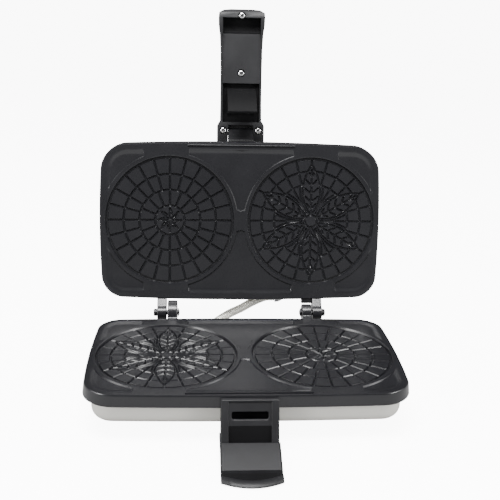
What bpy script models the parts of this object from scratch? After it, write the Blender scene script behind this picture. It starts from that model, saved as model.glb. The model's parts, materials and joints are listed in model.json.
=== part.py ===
"""Two-disc wafer-cone iron, modelled open.

A cast lower plate and a cast upper plate, each with two round baking discs, sit
on thin metal shells. Two rear hinges carry the lid. A long latch arm is pinned
to the front of the lid: swung down, its curved tongue enters the slot of the
keeper on the front of the base.

The design is laid out with the iron closed: X runs to the right, Y to the rear
from the line through the disc centres, and Z up from the rim of the lower
plate. Three empties then place the pieces: the base, the lid on the hinge axis
and the latch arm on its pin. Dimensions are in millimetres and are turned into
metres when a mesh is made.
"""

import math

import bmesh
import bpy
from mathutils import Vector

MM = 0.001

# ---- where the iron stands
RIM_Z = 46.0          # height of the lower plate's rim above the table
FRAME_Y = -24.3         # moves the disc line so that the frame sits under the middle

# ---- plates
HALF_W = 136.8        # half width of a plate at its corners
HALF_D = 76.0         # half depth of a plate at its corners
CORNER_R = 21.0       # rear corners
FRONT_R = 25.0        # front corners
BOW_X = 3.2           # how far the sides bow out
BOW_Y = 3.4           # how far the front and the rear bow out
SKIRT = 11.0          # height of a plate's skirt
REAR_SHIFT = 1.2      # plates and shells sit this far to the rear of the disc line
DECK = 5.5            # thickness of a plate's deck
LID_GAP = 1.0         # gap between the rims, closed
DISC_X = 70.0         # disc centres, to each side
DISC_R = 60.6
DISC_SINK = 0.9
LAND_R = 67.3         # outer edge of the land round a disc
POCKET_SINK = 1.2

# ---- shells
SHELL_IN = 7.0        # shells stand this far inside the plates
SHELL_T = 1.0
BASE_DEEP = 31.0
LID_HIGH = 34.2
TRAY_DEEP = 38.0

# ---- rear hinge
HINGE_Y = 92.2
HINGE_Z = 0.5
OPEN_DEG = 102.0
LUG_X = (62.3, 71.8)
KNUCKLE_X = (73.0, 82.4)
PIN_R = 2.4

# ---- latch
ARM_Y = -86.0         # latch arm's pin, closed
ARM_Z = 30.6
ARM_LEN = 122.0
TONGUE_R = 43.5       # mean radius of the curved tongue about the arm's pin
TONGUE_T = 2.8
TONGUE_W = 14.0
TONGUE_END = 62.0     # degrees round from the arm's line
SLOT_Z = -12.8
SLOT_H = 5.8
SLOT_W = 15.0

GAP = 0.3

# ------------------------------------------------------------------ scene
for old in list(bpy.data.objects):
    bpy.data.objects.remove(old, do_unlink=True)


def material(name, rgb, rough, metal=0.0):
    mat = bpy.data.materials.new(name)
    mat.use_nodes = True
    shader = mat.node_tree.nodes["Principled BSDF"]
    shader.inputs["Base Color"].default_value = (*rgb, 1.0)
    shader.inputs["Roughness"].default_value = rough
    shader.inputs["Metallic"].default_value = metal
    mat.diffuse_color = (*rgb, 1.0)
    return mat


NONSTICK = ((0.075, 0.075, 0.082), 0.45, 0.2)
SILVER = ((0.62, 0.60, 0.56), 0.35, 0.8)
BLACK = ((0.030, 0.030, 0.032), 0.42, 0.0)
DARK_STEEL = ((0.05, 0.05, 0.05), 0.4, 0.8)
STEEL = ((0.60, 0.60, 0.61), 0.28, 1.0)
ZINC = ((0.50, 0.50, 0.50), 0.38, 1.0)
RUBBER = ((0.02, 0.02, 0.02), 0.8, 0.0)
CONDUIT = ((0.62, 0.60, 0.54), 0.35, 0.9)
HEATER = ((0.20, 0.19, 0.18), 0.6, 0.8)
CREAM = ((0.75, 0.70, 0.58), 0.6, 0.0)
RED = ((0.6, 0.03, 0.02), 0.25, 0.0)
GREEN = ((0.03, 0.45, 0.08), 0.25, 0.0)


def empty(name, location, parent=None, tilt=0.0):
    holder = bpy.data.objects.new(name, None)
    bpy.context.scene.collection.objects.link(holder)
    holder.parent = parent
    holder.location = Vector(location) * MM
    holder.rotation_euler = (tilt, 0.0, 0.0)
    return holder


base_frame = empty("base_frame", (0, FRAME_Y, RIM_Z))
lid_frame = empty(
    "lid_frame", (0, FRAME_Y + HINGE_Y, RIM_Z + HINGE_Z), tilt=-math.radians(OPEN_DEG)
)
arm_frame = empty("arm_frame", (0, ARM_Y - HINGE_Y, ARM_Z - HINGE_Z), parent=lid_frame)
FRAMES = {
    "base": (base_frame, Vector((0, 0, 0))),
    "lid": (lid_frame, Vector((0, HINGE_Y, HINGE_Z))),
    "arm": (arm_frame, Vector((0, ARM_Y, ARM_Z))),
}


# ------------------------------------------------------------------ shapes
def loft(bm, loops, ring=False):
    """Skin through loops of equal length. Open ends are capped unless it closes as a ring."""
    rows = [[bm.verts.new(p) for p in loop] for loop in loops]
    pairs = list(zip(rows, rows[1:]))
    if ring:
        pairs.append((rows[-1], rows[0]))
    for low, high in pairs:
        n = len(low)
        for i in range(n):
            j = (i + 1) % n
            bm.faces.new((low[i], low[j], high[j], high[i]))
    if not ring:
        bm.faces.new(rows[0][::-1])
        bm.faces.new(rows[-1])


def outline(inset, z, corner=6, long_side=8, short_side=4):
    """Rounded rectangle with bowed sides, drawn inset from the plate's edge."""
    a, b = HALF_W - inset, HALF_D - inset
    rear, front = max(CORNER_R - inset, 3.0), max(FRONT_R - inset, 3.0)
    points = []
    for quarter, (sx, sy) in enumerate(((1, 1), (-1, 1), (-1, -1), (1, -1))):
        r = rear if sy > 0 else front
        cx, cy = sx * (a - r), sy * (b - r)
        for k in range(corner + 1):
            t = math.pi / 2 * (quarter + k / corner)
            points.append((cx + r * math.cos(t), cy + r * math.sin(t)))
        nsx, nsy = ((-1, 1), (-1, -1), (1, -1), (1, 1))[quarter]
        steps = long_side if quarter in (0, 2) else short_side
        x0, y0 = points[-1]
        if quarter == 0:
            x1, y1 = -(a - rear), b
        elif quarter == 1:
            x1, y1 = -a, -(b - front)
        elif quarter == 2:
            x1, y1 = a - front, -b
        else:
            x1, y1 = a, b - rear
        for k in range(1, steps):
            f = k / steps
            points.append((x0 + (x1 - x0) * f, y0 + (y1 - y0) * f))
    bowed = []
    for x, y in points:
        bx = x + BOW_X * (1 - (y / HALF_D) ** 2) * (x / HALF_W)
        by = y + BOW_Y * (1 - (x / HALF_W) ** 2) * (y / HALF_D)
        bowed.append((bx, by + REAR_SHIFT, z))
    return bowed


def edge_y(x, inset):
    """Front-to-rear half depth of the outline at x."""
    return (HALF_D - inset) * (1 + BOW_Y * (1 - (x / HALF_W) ** 2) / HALF_D)


def edge_x(y, inset):
    return (HALF_W - inset) * (1 + BOW_X * (1 - (y / HALF_D) ** 2) / HALF_W)


def circle(centre, r, n, axis="z", start=0.0):
    cx, cy, cz = centre
    points = []
    for k in range(n):
        t = start + 2 * math.pi * k / n
        u, v = r * math.cos(t), r * math.sin(t)
        if axis == "z":
            points.append((cx + u, cy + v, cz))
        elif axis == "x":
            points.append((cx, cy + u, cz + v))
        else:
            points.append((cx + v, cy, cz + u))
    return points


def turned(bm, centre, axis, profile, n=20, ring=False):
    """Solid turned about an axis through centre: profile is (distance along, radius)."""
    cx, cy, cz = centre
    loops = []
    for along, r in profile:
        at = {"x": (cx + along, cy, cz), "y": (cx, cy + along, cz), "z": (cx, cy, cz + along)}[axis]
        loops.append(circle(at, r, n, axis))
    loft(bm, loops, ring)


def prism_x(bm, profile, x0, x1):
    """Outline in Y and Z drawn out along X."""
    loft(bm, [[(x, y, z) for y, z in profile] for x in (x0, x1)])


def prism_z(bm, profile, z0, z1):
    loft(bm, [[(x, y, z) for x, y in profile] for z in (z0, z1)])


def block(bm, x0, x1, y0, y1, z0, z1):
    prism_z(bm, [(x0, y0), (x1, y0), (x1, y1), (x0, y1)], z0, z1)


def pipe(bm, points, r, n=8):
    """Round tube along a smooth row of points."""
    points = [Vector(p) for p in points]
    loops = []
    side = None
    for k, p in enumerate(points):
        ahead = points[min(k + 1, len(points) - 1)] - points[max(k - 1, 0)]
        ahead.normalize()
        if side is None:
            side = ahead.orthogonal().normalized()
        side = (side - ahead * side.dot(ahead)).normalized()
        up = ahead.cross(side)
        loops.append(
            [
                tuple(p + r * (math.cos(2 * math.pi * i / n) * side + math.sin(2 * math.pi * i / n) * up))
                for i in range(n)
            ]
        )
    loft(bm, loops)


def add(name, group, bm, look=None, sharp=35.0):
    """Finish a mesh as an object of one of the three frames."""
    holder, zero = FRAMES[group]
    bmesh.ops.recalc_face_normals(bm, faces=bm.faces)
    for vert in bm.verts:
        vert.co = (vert.co - zero) * MM
    mesh = bpy.data.meshes.new(name)
    bm.to_mesh(mesh)
    bm.free()
    obj = bpy.data.objects.new(name, mesh)
    bpy.context.scene.collection.objects.link(obj)
    obj.parent = holder
    mesh.shade_smooth()
    mesh.set_sharp_from_angle(angle=math.radians(sharp))
    if look is not None:
        mesh.materials.append(material(name, *look))
    else:
        obj.hide_render = True
        obj.display_type = "WIRE"
    return obj


def boolean(obj, tool, operation="DIFFERENCE"):
    modifier = obj.modifiers.new(tool.name, "BOOLEAN")
    modifier.operation = operation
    modifier.object = tool
    modifier.solver = "EXACT"


def start():
    return bmesh.new()


# ------------------------------------------------------------------ plates
def corner_pocket(sx, sy):
    """Shallow field between a disc's land and a corner of the plate."""
    y_end, x_end = 26.0, 96.0
    rim = 4.4
    edge = [(x, sy * (y - REAR_SHIFT)) for x, y, _ in outline(rim, 0)]
    rimmed = [(x, y) for x, y in edge if x > x_end + 1 and y > y_end + 1]
    rimmed.sort(key=lambda p: math.atan2(p[1], p[0] - DISC_X))
    points = [(edge_x(y_end, rim), y_end)] + rimmed + [(x_end, edge_y(x_end, rim))]
    t0 = math.acos((x_end - DISC_X) / LAND_R)
    t1 = math.asin(y_end / LAND_R)
    for k in range(8):
        t = t0 + (t1 - t0) * k / 7
        points.append((DISC_X + LAND_R * math.cos(t), LAND_R * math.sin(t)))
    return [(sx * x, sy * y) for x, y in points]


def middle_pocket(sy):
    """Shallow three-sided field between the two discs."""
    r = 66.8
    y_near, x_far, y_far = 11.0, 52.0, (67.5 if sy < 0 else 71.5)
    t0 = math.asin(y_near / r)
    t1 = math.acos((DISC_X - x_far) / r)
    side = []
    for k in range(8):
        t = t0 + (t1 - t0) * k / 7
        side.append((DISC_X - r * math.cos(t), r * math.sin(t)))
    right = side + [(x_far - 2.0, y_far)]
    left = [(-x, y) for x, y in reversed(right)]
    return [(x, sy * y) for x, y in [(0.0, 9.2)] + right + left]


def lug_profile(r):
    points = [(76.6, -10.6), (HINGE_Y, HINGE_Z - r)]
    for k in range(1, 16):
        t = -math.pi / 2 + math.radians(270) * k / 15
        points.append((HINGE_Y + r * math.cos(t), HINGE_Z + r * math.sin(t)))
    points.append((76.6, -1.4))
    return points


def knuckle_profile(r=7.0):
    points = [(76.6, 2.8)]
    for k in range(13):
        t = math.radians(-160 + 270 * k / 12)
        points.append((HINGE_Y + r * math.cos(t), HINGE_Z + r * math.sin(t)))
    points += [(82.5, 11.4), (76.6, 11.4)]
    return points


def plate(name, group, top, way):
    """A cast plate. top is its rim plane, way is the direction from the rim to the skirt's edge."""

    def level(depth):
        return top + way * depth

    bm = start()
    loft(
        bm,
        [
            outline(5.0, level(DECK)),
            outline(3.2, level(SKIRT)),
            outline(0.4, level(SKIRT)),
            outline(0.0, level(SKIRT - 0.6)),
            outline(1.0, level(1.7)),
            outline(1.4, level(0.6)),
            outline(2.2, level(0.0)),
        ],
    )
    body = add(name, group, bm, NONSTICK, 50)
    z0, z1 = sorted((level(-2.0), level(POCKET_SINK)))
    bm = start()
    for sx in (-1, 1):
        for sy in (-1, 1):
            prism_z(bm, corner_pocket(sx, sy), z0, z1)
    for sy in (-1, 1):
        prism_z(bm, middle_pocket(sy), z0, z1)
    boolean(body, add(name + "_pockets", group, bm))
    bm = start()
    for sx in (-1, 1):
        turned(bm, (sx * DISC_X, 0, 0), "z", [(level(-2.0), DISC_R), (level(DISC_SINK), DISC_R)], 44)
    boolean(body, add(name + "_discs", group, bm))
    return body


base_plate = plate("base_plate", "base", 0.0, -1)
bm = start()
block(bm, -53, 53, -74.6, -72.0, -1.5, 2.0)
boolean(base_plate, add("base_plate_groove", "base", bm))
bm = start()
prism_x(bm, lug_profile(12.1), -LUG_X[1], -LUG_X[0])
prism_x(bm, lug_profile(8.4), LUG_X[0], LUG_X[1])
boolean(base_plate, add("base_plate_lugs", "base", bm), "UNION")
bm = start()
for sx in (-1, 1):
    turned(bm, (sx * 67, HINGE_Y, HINGE_Z), "x", [(-7, PIN_R + 0.4), (7, PIN_R + 0.4)], 20)
boolean(base_plate, add("base_plate_bores", "base", bm))

lid_plate = plate("lid_plate", "lid", LID_GAP, 1)
bm = start()
block(bm, -52.5, 52.5, -74.0, -72.6, LID_GAP - 1.5, LID_GAP + 1.0)
boolean(lid_plate, add("lid_plate_rib", "lid", bm), "UNION")
bm = start()
for sx in (-1, 1):
    prism_x(bm, knuckle_profile(), *sorted((sx * KNUCKLE_X[0], sx * KNUCKLE_X[1])))
boolean(lid_plate, add("lid_plate_knuckles", "lid", bm), "UNION")
bm = start()
prism_x(bm, [(76.6, 2.8), (81.6, 2.8), (83.6, 4.6), (83.6, 11.4), (76.6, 11.4)], 62.6, 76.0)
boolean(lid_plate, add("lid_plate_web", "lid", bm), "UNION")
bm = start()
for sx in (-1, 1):
    turned(bm, (sx * 77.5, HINGE_Y, HINGE_Z), "x", [(-7, PIN_R + 0.4), (7, PIN_R + 0.4)], 20)
boolean(lid_plate, add("lid_plate_bores", "lid", bm))

# ------------------------------------------------------------------ hinge pins
for side, sx in (("left", -1), ("right", 1)):
    bm = start()
    profile = [
        (sx * 60.1, PIN_R - 0.4),
        (sx * 60.4, PIN_R),
        (sx * 82.75, PIN_R),
        (sx * 82.75, 3.6),
        (sx * 85.2, 3.6),
        (sx * 86.0, 2.8),
    ]
    turned(bm, (0, HINGE_Y, HINGE_Z), "x", profile, 18)
    add("hinge_pin_" + side, "base", bm, DARK_STEEL)
    bm = start()
    turned(
        bm,
        (0, HINGE_Y, HINGE_Z),
        "x",
        [(sx * 60.9, 2.75), (sx * 60.9, 4.2), (sx * 61.9, 4.2), (sx * 61.9, 2.75)],
        18,
        ring=True,
    )
    add("hinge_clip_" + side, "base", bm, DARK_STEEL)

# ------------------------------------------------------------------ base shell
bm = start()
s, t = SHELL_IN, SHELL_T
loft(
    bm,
    [
        outline(s, -9.0),
        outline(s, -22.0),
        outline(s + 0.8, -26.4),
        outline(s + 2.7, -29.4),
        outline(s + 6.0, -BASE_DEEP),
        outline(s + 23, -BASE_DEEP),
        outline(s + 23, -BASE_DEEP + t),
        outline(s + 6.4, -BASE_DEEP + t),
        outline(s + 3.5, -28.6),
        outline(s + 1.8, -25.9),
        outline(s + t, -22.0),
        outline(s + t, -9.0),
    ],
    ring=True,
)
base_shell = add("base_shell", "base", bm, SILVER, 50)
bm = start()
turned(bm, (-30, 70, -19.6), "y", [(-6, 6.6), (8, 6.6)], 16)
turned(bm, (50, 70, -20.8), "y", [(-6, 6.6), (8, 6.6)], 16)
boolean(base_shell, add("base_shell_holes", "base", bm))

# ------------------------------------------------------------------ bottom cover, feet, rear legs
COVER_SCREWS = [(sx * 100, sy * 42) for sx in (-1, 1) for sy in (-1, 1)]
bm = start()
loft(
    bm,
    [
        outline(27.0, -35.8),
        outline(27.0, -BASE_DEEP - GAP),
        outline(24.0, -BASE_DEEP - GAP),
        outline(24.4, -TRAY_DEEP + 1.0),
        outline(25.4, -TRAY_DEEP),
    ],
)
bottom_cover = add("bottom_cover", "base", bm, BLACK, 40)
bm = start()
for row in (-18, 14):
    for k in range(5):
        x = -44 + 22 * k
        block(bm, x - 3.0, x + 3.0, row - 10, row + 10, -40, -34)
for x, y in COVER_SCREWS:
    turned(bm, (x, y, 0), "z", [(-40, 2.2), (-34, 2.2)], 12)
boolean(bottom_cover, add("bottom_cover_vents", "base", bm))

for k, (x, y) in enumerate(COVER_SCREWS):
    bm = start()
    turned(
        bm, (x, y, 0), "z", [(-40.2, 2.6), (-39.6, 3.6), (-38.35, 3.6), (-38.35, 1.7), (-32.6, 1.7)], 12
    )
    add("cover_screw_%d" % (k + 1), "base", bm, ZINC)

for side, sx in (("left", -1), ("right", 1)):
    bm = start()
    turned(bm, (sx * 82, -27, 0), "z", [(-RIM_Z, 8.2), (-RIM_Z + 1.0, 9.2), (-TRAY_DEEP - GAP, 9.6)], 20)
    add("front_foot_" + side, "base", bm, RUBBER)
    bm = start()
    leg = [
        (72.5, -12.0),
        (80.6, -12.0),
        (90.0, -17.0),
        (98.0, -27.0),
        (100.0, -43.0),
        (83.0, -43.0),
        (80.0, -33.0),
        (72.5, -31.6),
    ]
    prism_x(bm, leg, *sorted((sx * 88, sx * 104)))
    add("rear_leg_" + side, "base", bm, BLACK, 30)
    bm = start()
    block(bm, *sorted((sx * 89, sx * 103)), 84.5, 98.5, -RIM_Z, -43.3)
    add("rear_pad_" + side, "base", bm, RUBBER)

# ------------------------------------------------------------------ keeper and lower grip
KEEPER_HALF = 23.6
FACE_TOP = (-83.2, -0.6)
FACE_LOW = (-96.5, -31.0)


def face_y(z):
    f = (z - FACE_TOP[1]) / (FACE_LOW[1] - FACE_TOP[1])
    return FACE_TOP[0] + (FACE_LOW[0] - FACE_TOP[0]) * f


bm = start()
prism_x(
    bm,
    [
        (-78.6, -1.6),
        (-79.6, -0.6),
        FACE_TOP,
        FACE_LOW,
        (-96.5, -34.5),
        (-71.3, -34.5),
        (-71.3, -11.6),
        (-78.6, -11.6),
    ],
    -KEEPER_HALF,
    KEEPER_HALF,
)
keeper = add("latch_keeper", "base", bm, BLACK, 30)
bm = start()
prism_x(bm, [(-75.6, -7.5), (face_y(-7.5) + 3.4, -7.5), (face_y(-31.5) + 3.4, -31.5), (-75.6, -31.5)], -20.0, 20.0)
boolean(keeper, add("latch_keeper_inside", "base", bm))
bm = start()
prism_x(
    bm,
    [
        (face_y(-2.0) + 1.3, -2.0),
        (face_y(-35.5) + 1.3, -35.5),
        (face_y(-35.5) - 8, -35.5),
        (face_y(-2.0) - 8, -2.0),
    ],
    -17.6,
    17.6,
)
boolean(keeper, add("latch_keeper_panel", "base", bm))
bm = start()
block(bm, -SLOT_W, SLOT_W, -98, -80.5, SLOT_Z - SLOT_H / 2, SLOT_Z + SLOT_H / 2)
for sx in (-1, 1):
    turned(bm, (sx * 11, -83, 0), "z", [(-40, 2.1), (-30, 2.1)], 12)
boolean(keeper, add("latch_keeper_slot", "base", bm))

GRIP_SIDE = 24.4
grip_section = [
    (-76.0, -34.8),
    (-96.9, -34.8),
    (-96.9, -31.6),
    (-98.2, -31.4),
    (-110.0, -35.6),
    (-122.0, -40.4),
    (-122.6, -42.6),
    (-131.4, -43.4),
    (-132.6, -42.2),
    (-135.8, -41.4),
    (-139.0, -42.2),
    (-140.5, -43.8),
    (-139.4, -45.3),
    (-134.0, -45.8),
    (-121.0, -45.0),
    (-97.0, -38.8),
    (-76.0, -38.8),
]
bm = start()
stations = []
for k in range(13):
    x = GRIP_SIDE * (-1 + k / 6)
    pull = 7.0 * (x / GRIP_SIDE) ** 2
    edge = max(0.0, (abs(x) - GRIP_SIDE + 2.0) / 2.0)
    row = []
    for y, z in grip_section:
        bend = min(1.0, max(0.0, (-122.6 - y) / 9.0))
        zz = z
        if edge > 0 and -122.3 < y < -97:
            zz = z - 0.9 * edge
        row.append((x, y + pull * bend, zz))
    stations.append(row)
loft(bm, stations)
lower_grip = add("lower_grip", "base", bm, BLACK, 30)
bm = start()
for sx in (-1, 1):
    turned(bm, (sx * 11, -83, 0), "z", [(-42, 2.1), (-33, 2.1)], 12)
boolean(lower_grip, add("lower_grip_holes", "base", bm))
for side, sx in (("left", -1), ("right", 1)):
    bm = start()
    turned(
        bm,
        (sx * 11, -83, 0),
        "z",
        [(-41.4, 2.6), (-40.8, 3.6), (-39.1, 3.6), (-39.1, 1.7), (-30.0, 1.7)],
        12,
    )
    add("grip_screw_" + side, "base", bm, ZINC)

# ------------------------------------------------------------------ heaters, reflectors, control pieces
def heater(name, group, sx, z):
    centre = Vector((sx * DISC_X, 0, z))
    r = 42.0
    points = []
    first, last = math.radians(16), math.radians(344)
    for k in range(25):
        t = first + (last - first) * k / 24
        points.append(centre + Vector((-sx * r * math.cos(t), r * math.sin(t), 0)))
    for end, at in ((points[0], 0), (points[-1], len(points))):
        tail = end + Vector((-sx * 16, 0, 0))
        points.insert(at, tail) if at == 0 else points.append(tail)
    bm = start()
    pipe(bm, points, 3.2, 6)
    add(name, group, bm, HEATER)


for side, sx in (("left", -1), ("right", 1)):
    heater("lower_heater_" + side, "base", sx, -9.2)
    heater("upper_heater_" + side, "lid", sx, LID_GAP + 9.2)

for name, group, z in (("lower_reflector", "base", -16.4), ("upper_reflector", "lid", LID_GAP + 15.6)):
    bm = start()
    loft(bm, [outline(15.5, z, 5, 5, 3), outline(15.5, z + 0.8, 5, 5, 3)])
    sheet = add(name, group, bm, STEEL)
    bm = start()
    turned(bm, (0, 30, z), "z", [(-3, 9), (4, 9)], 16)
    turned(bm, (0, -56, z), "z", [(-3, 5), (4, 5)], 12)
    boolean(sheet, add(name + "_holes", group, bm))

bm = start()
turned(bm, (0, 30, 0), "z", [(-14.2, 6.0), (-13.4, 8.2), (-7.4, 8.2), (-7.4, 9.4), (-5.9, 9.4)], 20)
add("thermostat", "base", bm, CREAM)
bm = start()
turned(bm, (0, -22, -8.6), "x", [(-9, 0.6), (-6, 0.6), (-6, 2.0), (6, 2.0), (6, 0.6), (9, 0.6)], 10)
add("thermal_fuse", "base", bm, STEEL)
bm = start()
block(bm, -17, 17, 44, 56, -28, -19)
terminal = add("terminal_block", "base", bm, CREAM)
bm = start()
for k in range(4):
    turned(bm, (-12 + 8 * k, 50, 0), "z", [(-24, 1.8), (-18, 1.8)], 10)
boolean(terminal, add("terminal_block_wells", "base", bm))

# ------------------------------------------------------------------ conduit and inlets
bm = start()
turned(
    bm,
    (50, 0, -20.8),
    "y",
    [(65.4, 6.2), (73.3, 6.2), (73.3, 8.2), (75.6, 8.2), (76.6, 7.0), (92.0, 5.0), (92.0, 3.6), (65.4, 3.6)],
    16,
    ring=True,
)
add("cord_inlet", "base", bm, BLACK)
bm = start()
turned(
    bm,
    (-30, 0, -19.6),
    "y",
    [(66.0, 6.2), (73.6, 6.2), (73.6, 7.3), (76.0, 7.3), (76.0, 6.0), (80.0, 6.0), (80.0, 3.0), (66.0, 3.0)],
    16,
    ring=True,
)
add("base_ferrule", "base", bm, ZINC)
bm = start()
elbow = [(44, 66, 22), (44, 72.4, 22), (43.5, 75.6, 22), (41.6, 78.3, 22), (39.0, 79.4, 22), (36.5, 79.6, 22)]
pipe(bm, elbow, 6.0, 14)
add("lid_elbow", "lid", bm, ZINC)

cos_open, sin_open = math.cos(math.radians(OPEN_DEG)), math.sin(math.radians(OPEN_DEG))


def opened(x, y, z):
    """Where a point of the closed lid lies when the lid stands open."""
    dy, dz = y - HINGE_Y, z - HINGE_Z
    return (x, HINGE_Y + dy * cos_open + dz * sin_open, HINGE_Z - dy * sin_open + dz * cos_open)


end = opened(36.2 - 0.05, 79.6, 22)
route = [
    (-30.0, 80.6, -19.6),
    (-29.9, 85.0, -19.5),
    (-29.2, 90.0, -18.6),
    (-26.3, 95.6, -16.4),
    (-23.6, 101.4, -14.4),
    (-16.6, 107.2, -11.8),
    (-8.2, 111.2, -8.2),
    (2.4, 113.8, -4.0),
    (14.0, 115.4, 2.2),
    (27.0, 115.85, 7.75),
    end,
]


def smooth_route(points, per=4):
    """Centripetal-like spline through the points."""
    points = [Vector(p) for p in points]
    rows = [points[0] * 2 - points[1]] + points + [points[-1] * 2 - points[-2]]
    out = []
    for i in range(1, len(rows) - 2):
        p0, p1, p2, p3 = rows[i - 1 : i + 3]
        for k in range(per):
            u = k / per
            out.append(
                0.5
                * (
                    2 * p1
                    + (p2 - p0) * u
                    + (2 * p0 - 5 * p1 + 4 * p2 - p3) * u * u
                    + (3 * p1 - p0 - 3 * p2 + p3) * u**3
                )
            )
    out.append(points[-1])
    return out


curve = bpy.data.curves.new("conduit", "CURVE")
curve.dimensions = "3D"
curve.bevel_depth = 4.4 * MM
curve.bevel_resolution = 3
curve.use_fill_caps = True
line = curve.splines.new("POLY")
path = smooth_route(route, 3)
line.points.add(len(path) - 1)
for slot, p in zip(line.points, path):
    slot.co = (*(p * MM), 1.0)
conduit = bpy.data.objects.new("conduit", curve)
bpy.context.scene.collection.objects.link(conduit)
conduit.parent = base_frame
curve.materials.append(material("conduit", *CONDUIT))

# ------------------------------------------------------------------ lid shell and what it carries
bm = start()
inner = [
    outline(s + 33, LID_HIGH - t),
    outline(s + 8.4, LID_HIGH - t - 0.9),
    outline(s + 4.2, 30.9),
    outline(s + 1.8, 27.9),
    outline(s + t, 23.8),
    outline(s + t, LID_GAP + 10.0),
]
outer = [
    outline(s, LID_GAP + 10.0),
    outline(s, 24.0),
    outline(s + 0.8, 28.5),
    outline(s + 3.5, 31.8),
    outline(s + 8.0, LID_HIGH - 0.9),
    outline(s + 33, LID_HIGH),
]
loft(bm, inner + outer)
lid_shell = add("lid_shell", "lid", bm, SILVER, 50)
LENS = ((-17, -57), (17, -57))
bm = start()
for x, y in LENS:
    turned(bm, (x, y, 0), "z", [(30, 4.3), (38, 4.3)], 16)
turned(bm, (44, 70, 22), "y", [(-6, 6.5), (8, 6.5)], 16)
for sx in (-1, 1):
    turned(bm, (sx * 6.5, -72, 19), "y", [(-6, 2.0), (6, 2.0)], 12)
boolean(lid_shell, add("lid_shell_holes", "lid", bm))
for (x, y), side, look in zip(LENS, ("power", "ready"), (RED, GREEN)):
    bm = start()
    turned(
        bm,
        (x, y, 0),
        "z",
        [(28.5, 3.9), (34.5, 3.9), (34.5, 5.4), (35.5, 5.4), (36.4, 4.4), (36.9, 2.4)],
        16,
    )
    add(side + "_lens", "lid", bm, look)
    bm = start()
    turned(bm, (x, y, 0), "z", [(19.0, 1.2), (21.0, 2.8), (26.0, 2.8), (27.8, 1.2)], 12)
    add(side + "_lamp", "lid", bm, CREAM)

# ------------------------------------------------------------------ latch mount
def arc_points(cy, cz, r, first, last, steps):
    rows = []
    for k in range(steps + 1):
        t = math.radians(first + (last - first) * k / steps)
        rows.append((cy + r * math.cos(t), cz + r * math.sin(t)))
    return rows


bm = start()
mount = [(-71.3, 13.4), (-79.6, 13.4)] + arc_points(ARM_Y, ARM_Z, 5.6, 220, 75, 10) + [(-76.0, 34.0), (-71.3, 30.0)]
prism_x(bm, mount, -12.4, 12.4)
latch_mount = add("latch_mount", "lid", bm, BLACK, 30)
bm = start()
turned(bm, (0, ARM_Y, ARM_Z), "x", [(-20, 1.9), (20, 1.9)], 16)
for sx in (-1, 1):
    turned(bm, (sx * 6.5, -72, 19), "y", [(-6, 1.9), (4, 1.9)], 12)
boolean(latch_mount, add("latch_mount_bores", "lid", bm))
for side, sx in (("left", -1), ("right", 1)):
    bm = start()
    turned(
        bm, (sx * 6.5, 0, 19), "y", [(-77.4, 1.5), (-69.5, 1.5), (-69.5, 3.4), (-68.3, 3.4), (-67.7, 2.4)], 12
    )
    add("mount_screw_" + side, "lid", bm, ZINC)

# ------------------------------------------------------------------ latch arm
def arm_point(x, along, off):
    """A point of the arm: along its line from the pin, and off towards the base."""
    return (x, ARM_Y - along, ARM_Z - off)


def arm_box(bm, half, s0, s1, n0, n1):
    loft(
        bm,
        [
            [arm_point(x, s, n) for x, n in ((-half, n0), (half, n0), (half, n1), (-half, n1))]
            for s in (s0, s1)
        ],
    )


def arm_turned(bm, x, along, profile, n=12):
    """Turned about a line square to the arm: profile is (off, radius)."""
    turned(bm, (x, ARM_Y - along, ARM_Z), "z", [(-off, r) for off, r in profile], n)


def arm_section(half, along, back, front, soft):
    pts = [
        (-half + soft, back),
        (half - soft, back),
        (half, back + soft),
        (half, front - soft),
        (half - soft, front),
        (-half + soft, front),
        (-half, front - soft),
        (-half, back + soft),
    ]
    return [arm_point(x, along, n) for x, n in pts]


bm = start()
loft(
    bm,
    [
        arm_section(22.6, -9.4, -3.0, 4.4, 0.6),
        arm_section(23.6, -8.0, -4.2, 6.2, 0.6),
        arm_section(23.6, 0.0, -5.0, 7.0, 0.6),
        arm_section(23.6, 8.0, -4.2, 7.0, 0.6),
        arm_section(20.8, 13.0, -2.0, 6.4, 0.6),
        arm_section(20.6, 30.0, -2.0, 6.0, 0.6),
        arm_section(20.6, 60.0, -2.0, 6.0, 0.6),
        arm_section(20.9, 84.0, -2.0, 6.4, 0.6),
        arm_section(21.6, 98.0, -2.0, 7.6, 0.6),
        arm_section(22.8, 107.0, -2.0, 9.4, 0.6),
        arm_section(23.0, 114.0, -2.0, 10.0, 0.6),
        arm_section(22.6, 118.4, -2.0, 9.4, 0.6),
        arm_section(18.5, 121.0, -1.6, 7.6, 0.6),
        arm_section(12.0, 122.0, -1.0, 5.8, 0.6),
    ],
)
arm_tray = add("arm_tray", "arm", bm, BLACK, 32)
bm = start()
arm_box(bm, 12.9, -14, 2.0, -12, 14)
boolean(arm_tray, add("arm_tray_fork", "arm", bm))
bm = start()
arm_box(bm, 12.6, 5.6, 8.6, -1.0, 14)
boolean(arm_tray, add("arm_tray_relief", "arm", bm))
bm = start()
turned(bm, (0, ARM_Y, ARM_Z), "x", [(-12.9, 6.15), (12.9, 6.15)], 32)
boolean(arm_tray, add("arm_tray_barrel", "arm", bm))
bm = start()
arm_box(bm, 12.9, 1.0, 6.4, -0.6, 14)
boolean(arm_tray, add("arm_tray_front", "arm", bm))
bm = start()
arm_box(bm, 18.4, 11.4, 50.0, 0.2, 14)
boolean(arm_tray, add("arm_tray_pocket", "arm", bm))
bm = start()
arm_box(bm, 19.3, 49.0, 98.0, 4.4, 14)
boolean(arm_tray, add("arm_tray_floor", "arm", bm))
bm = start()
arm_box(bm, 18.8, 97.0, 113.2, 0.0, 14)
boolean(arm_tray, add("arm_tray_hook", "arm", bm))
bm = start()
arm_box(bm, 18.8, 112.0, 117.0, 0.6, 5.2)
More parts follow.
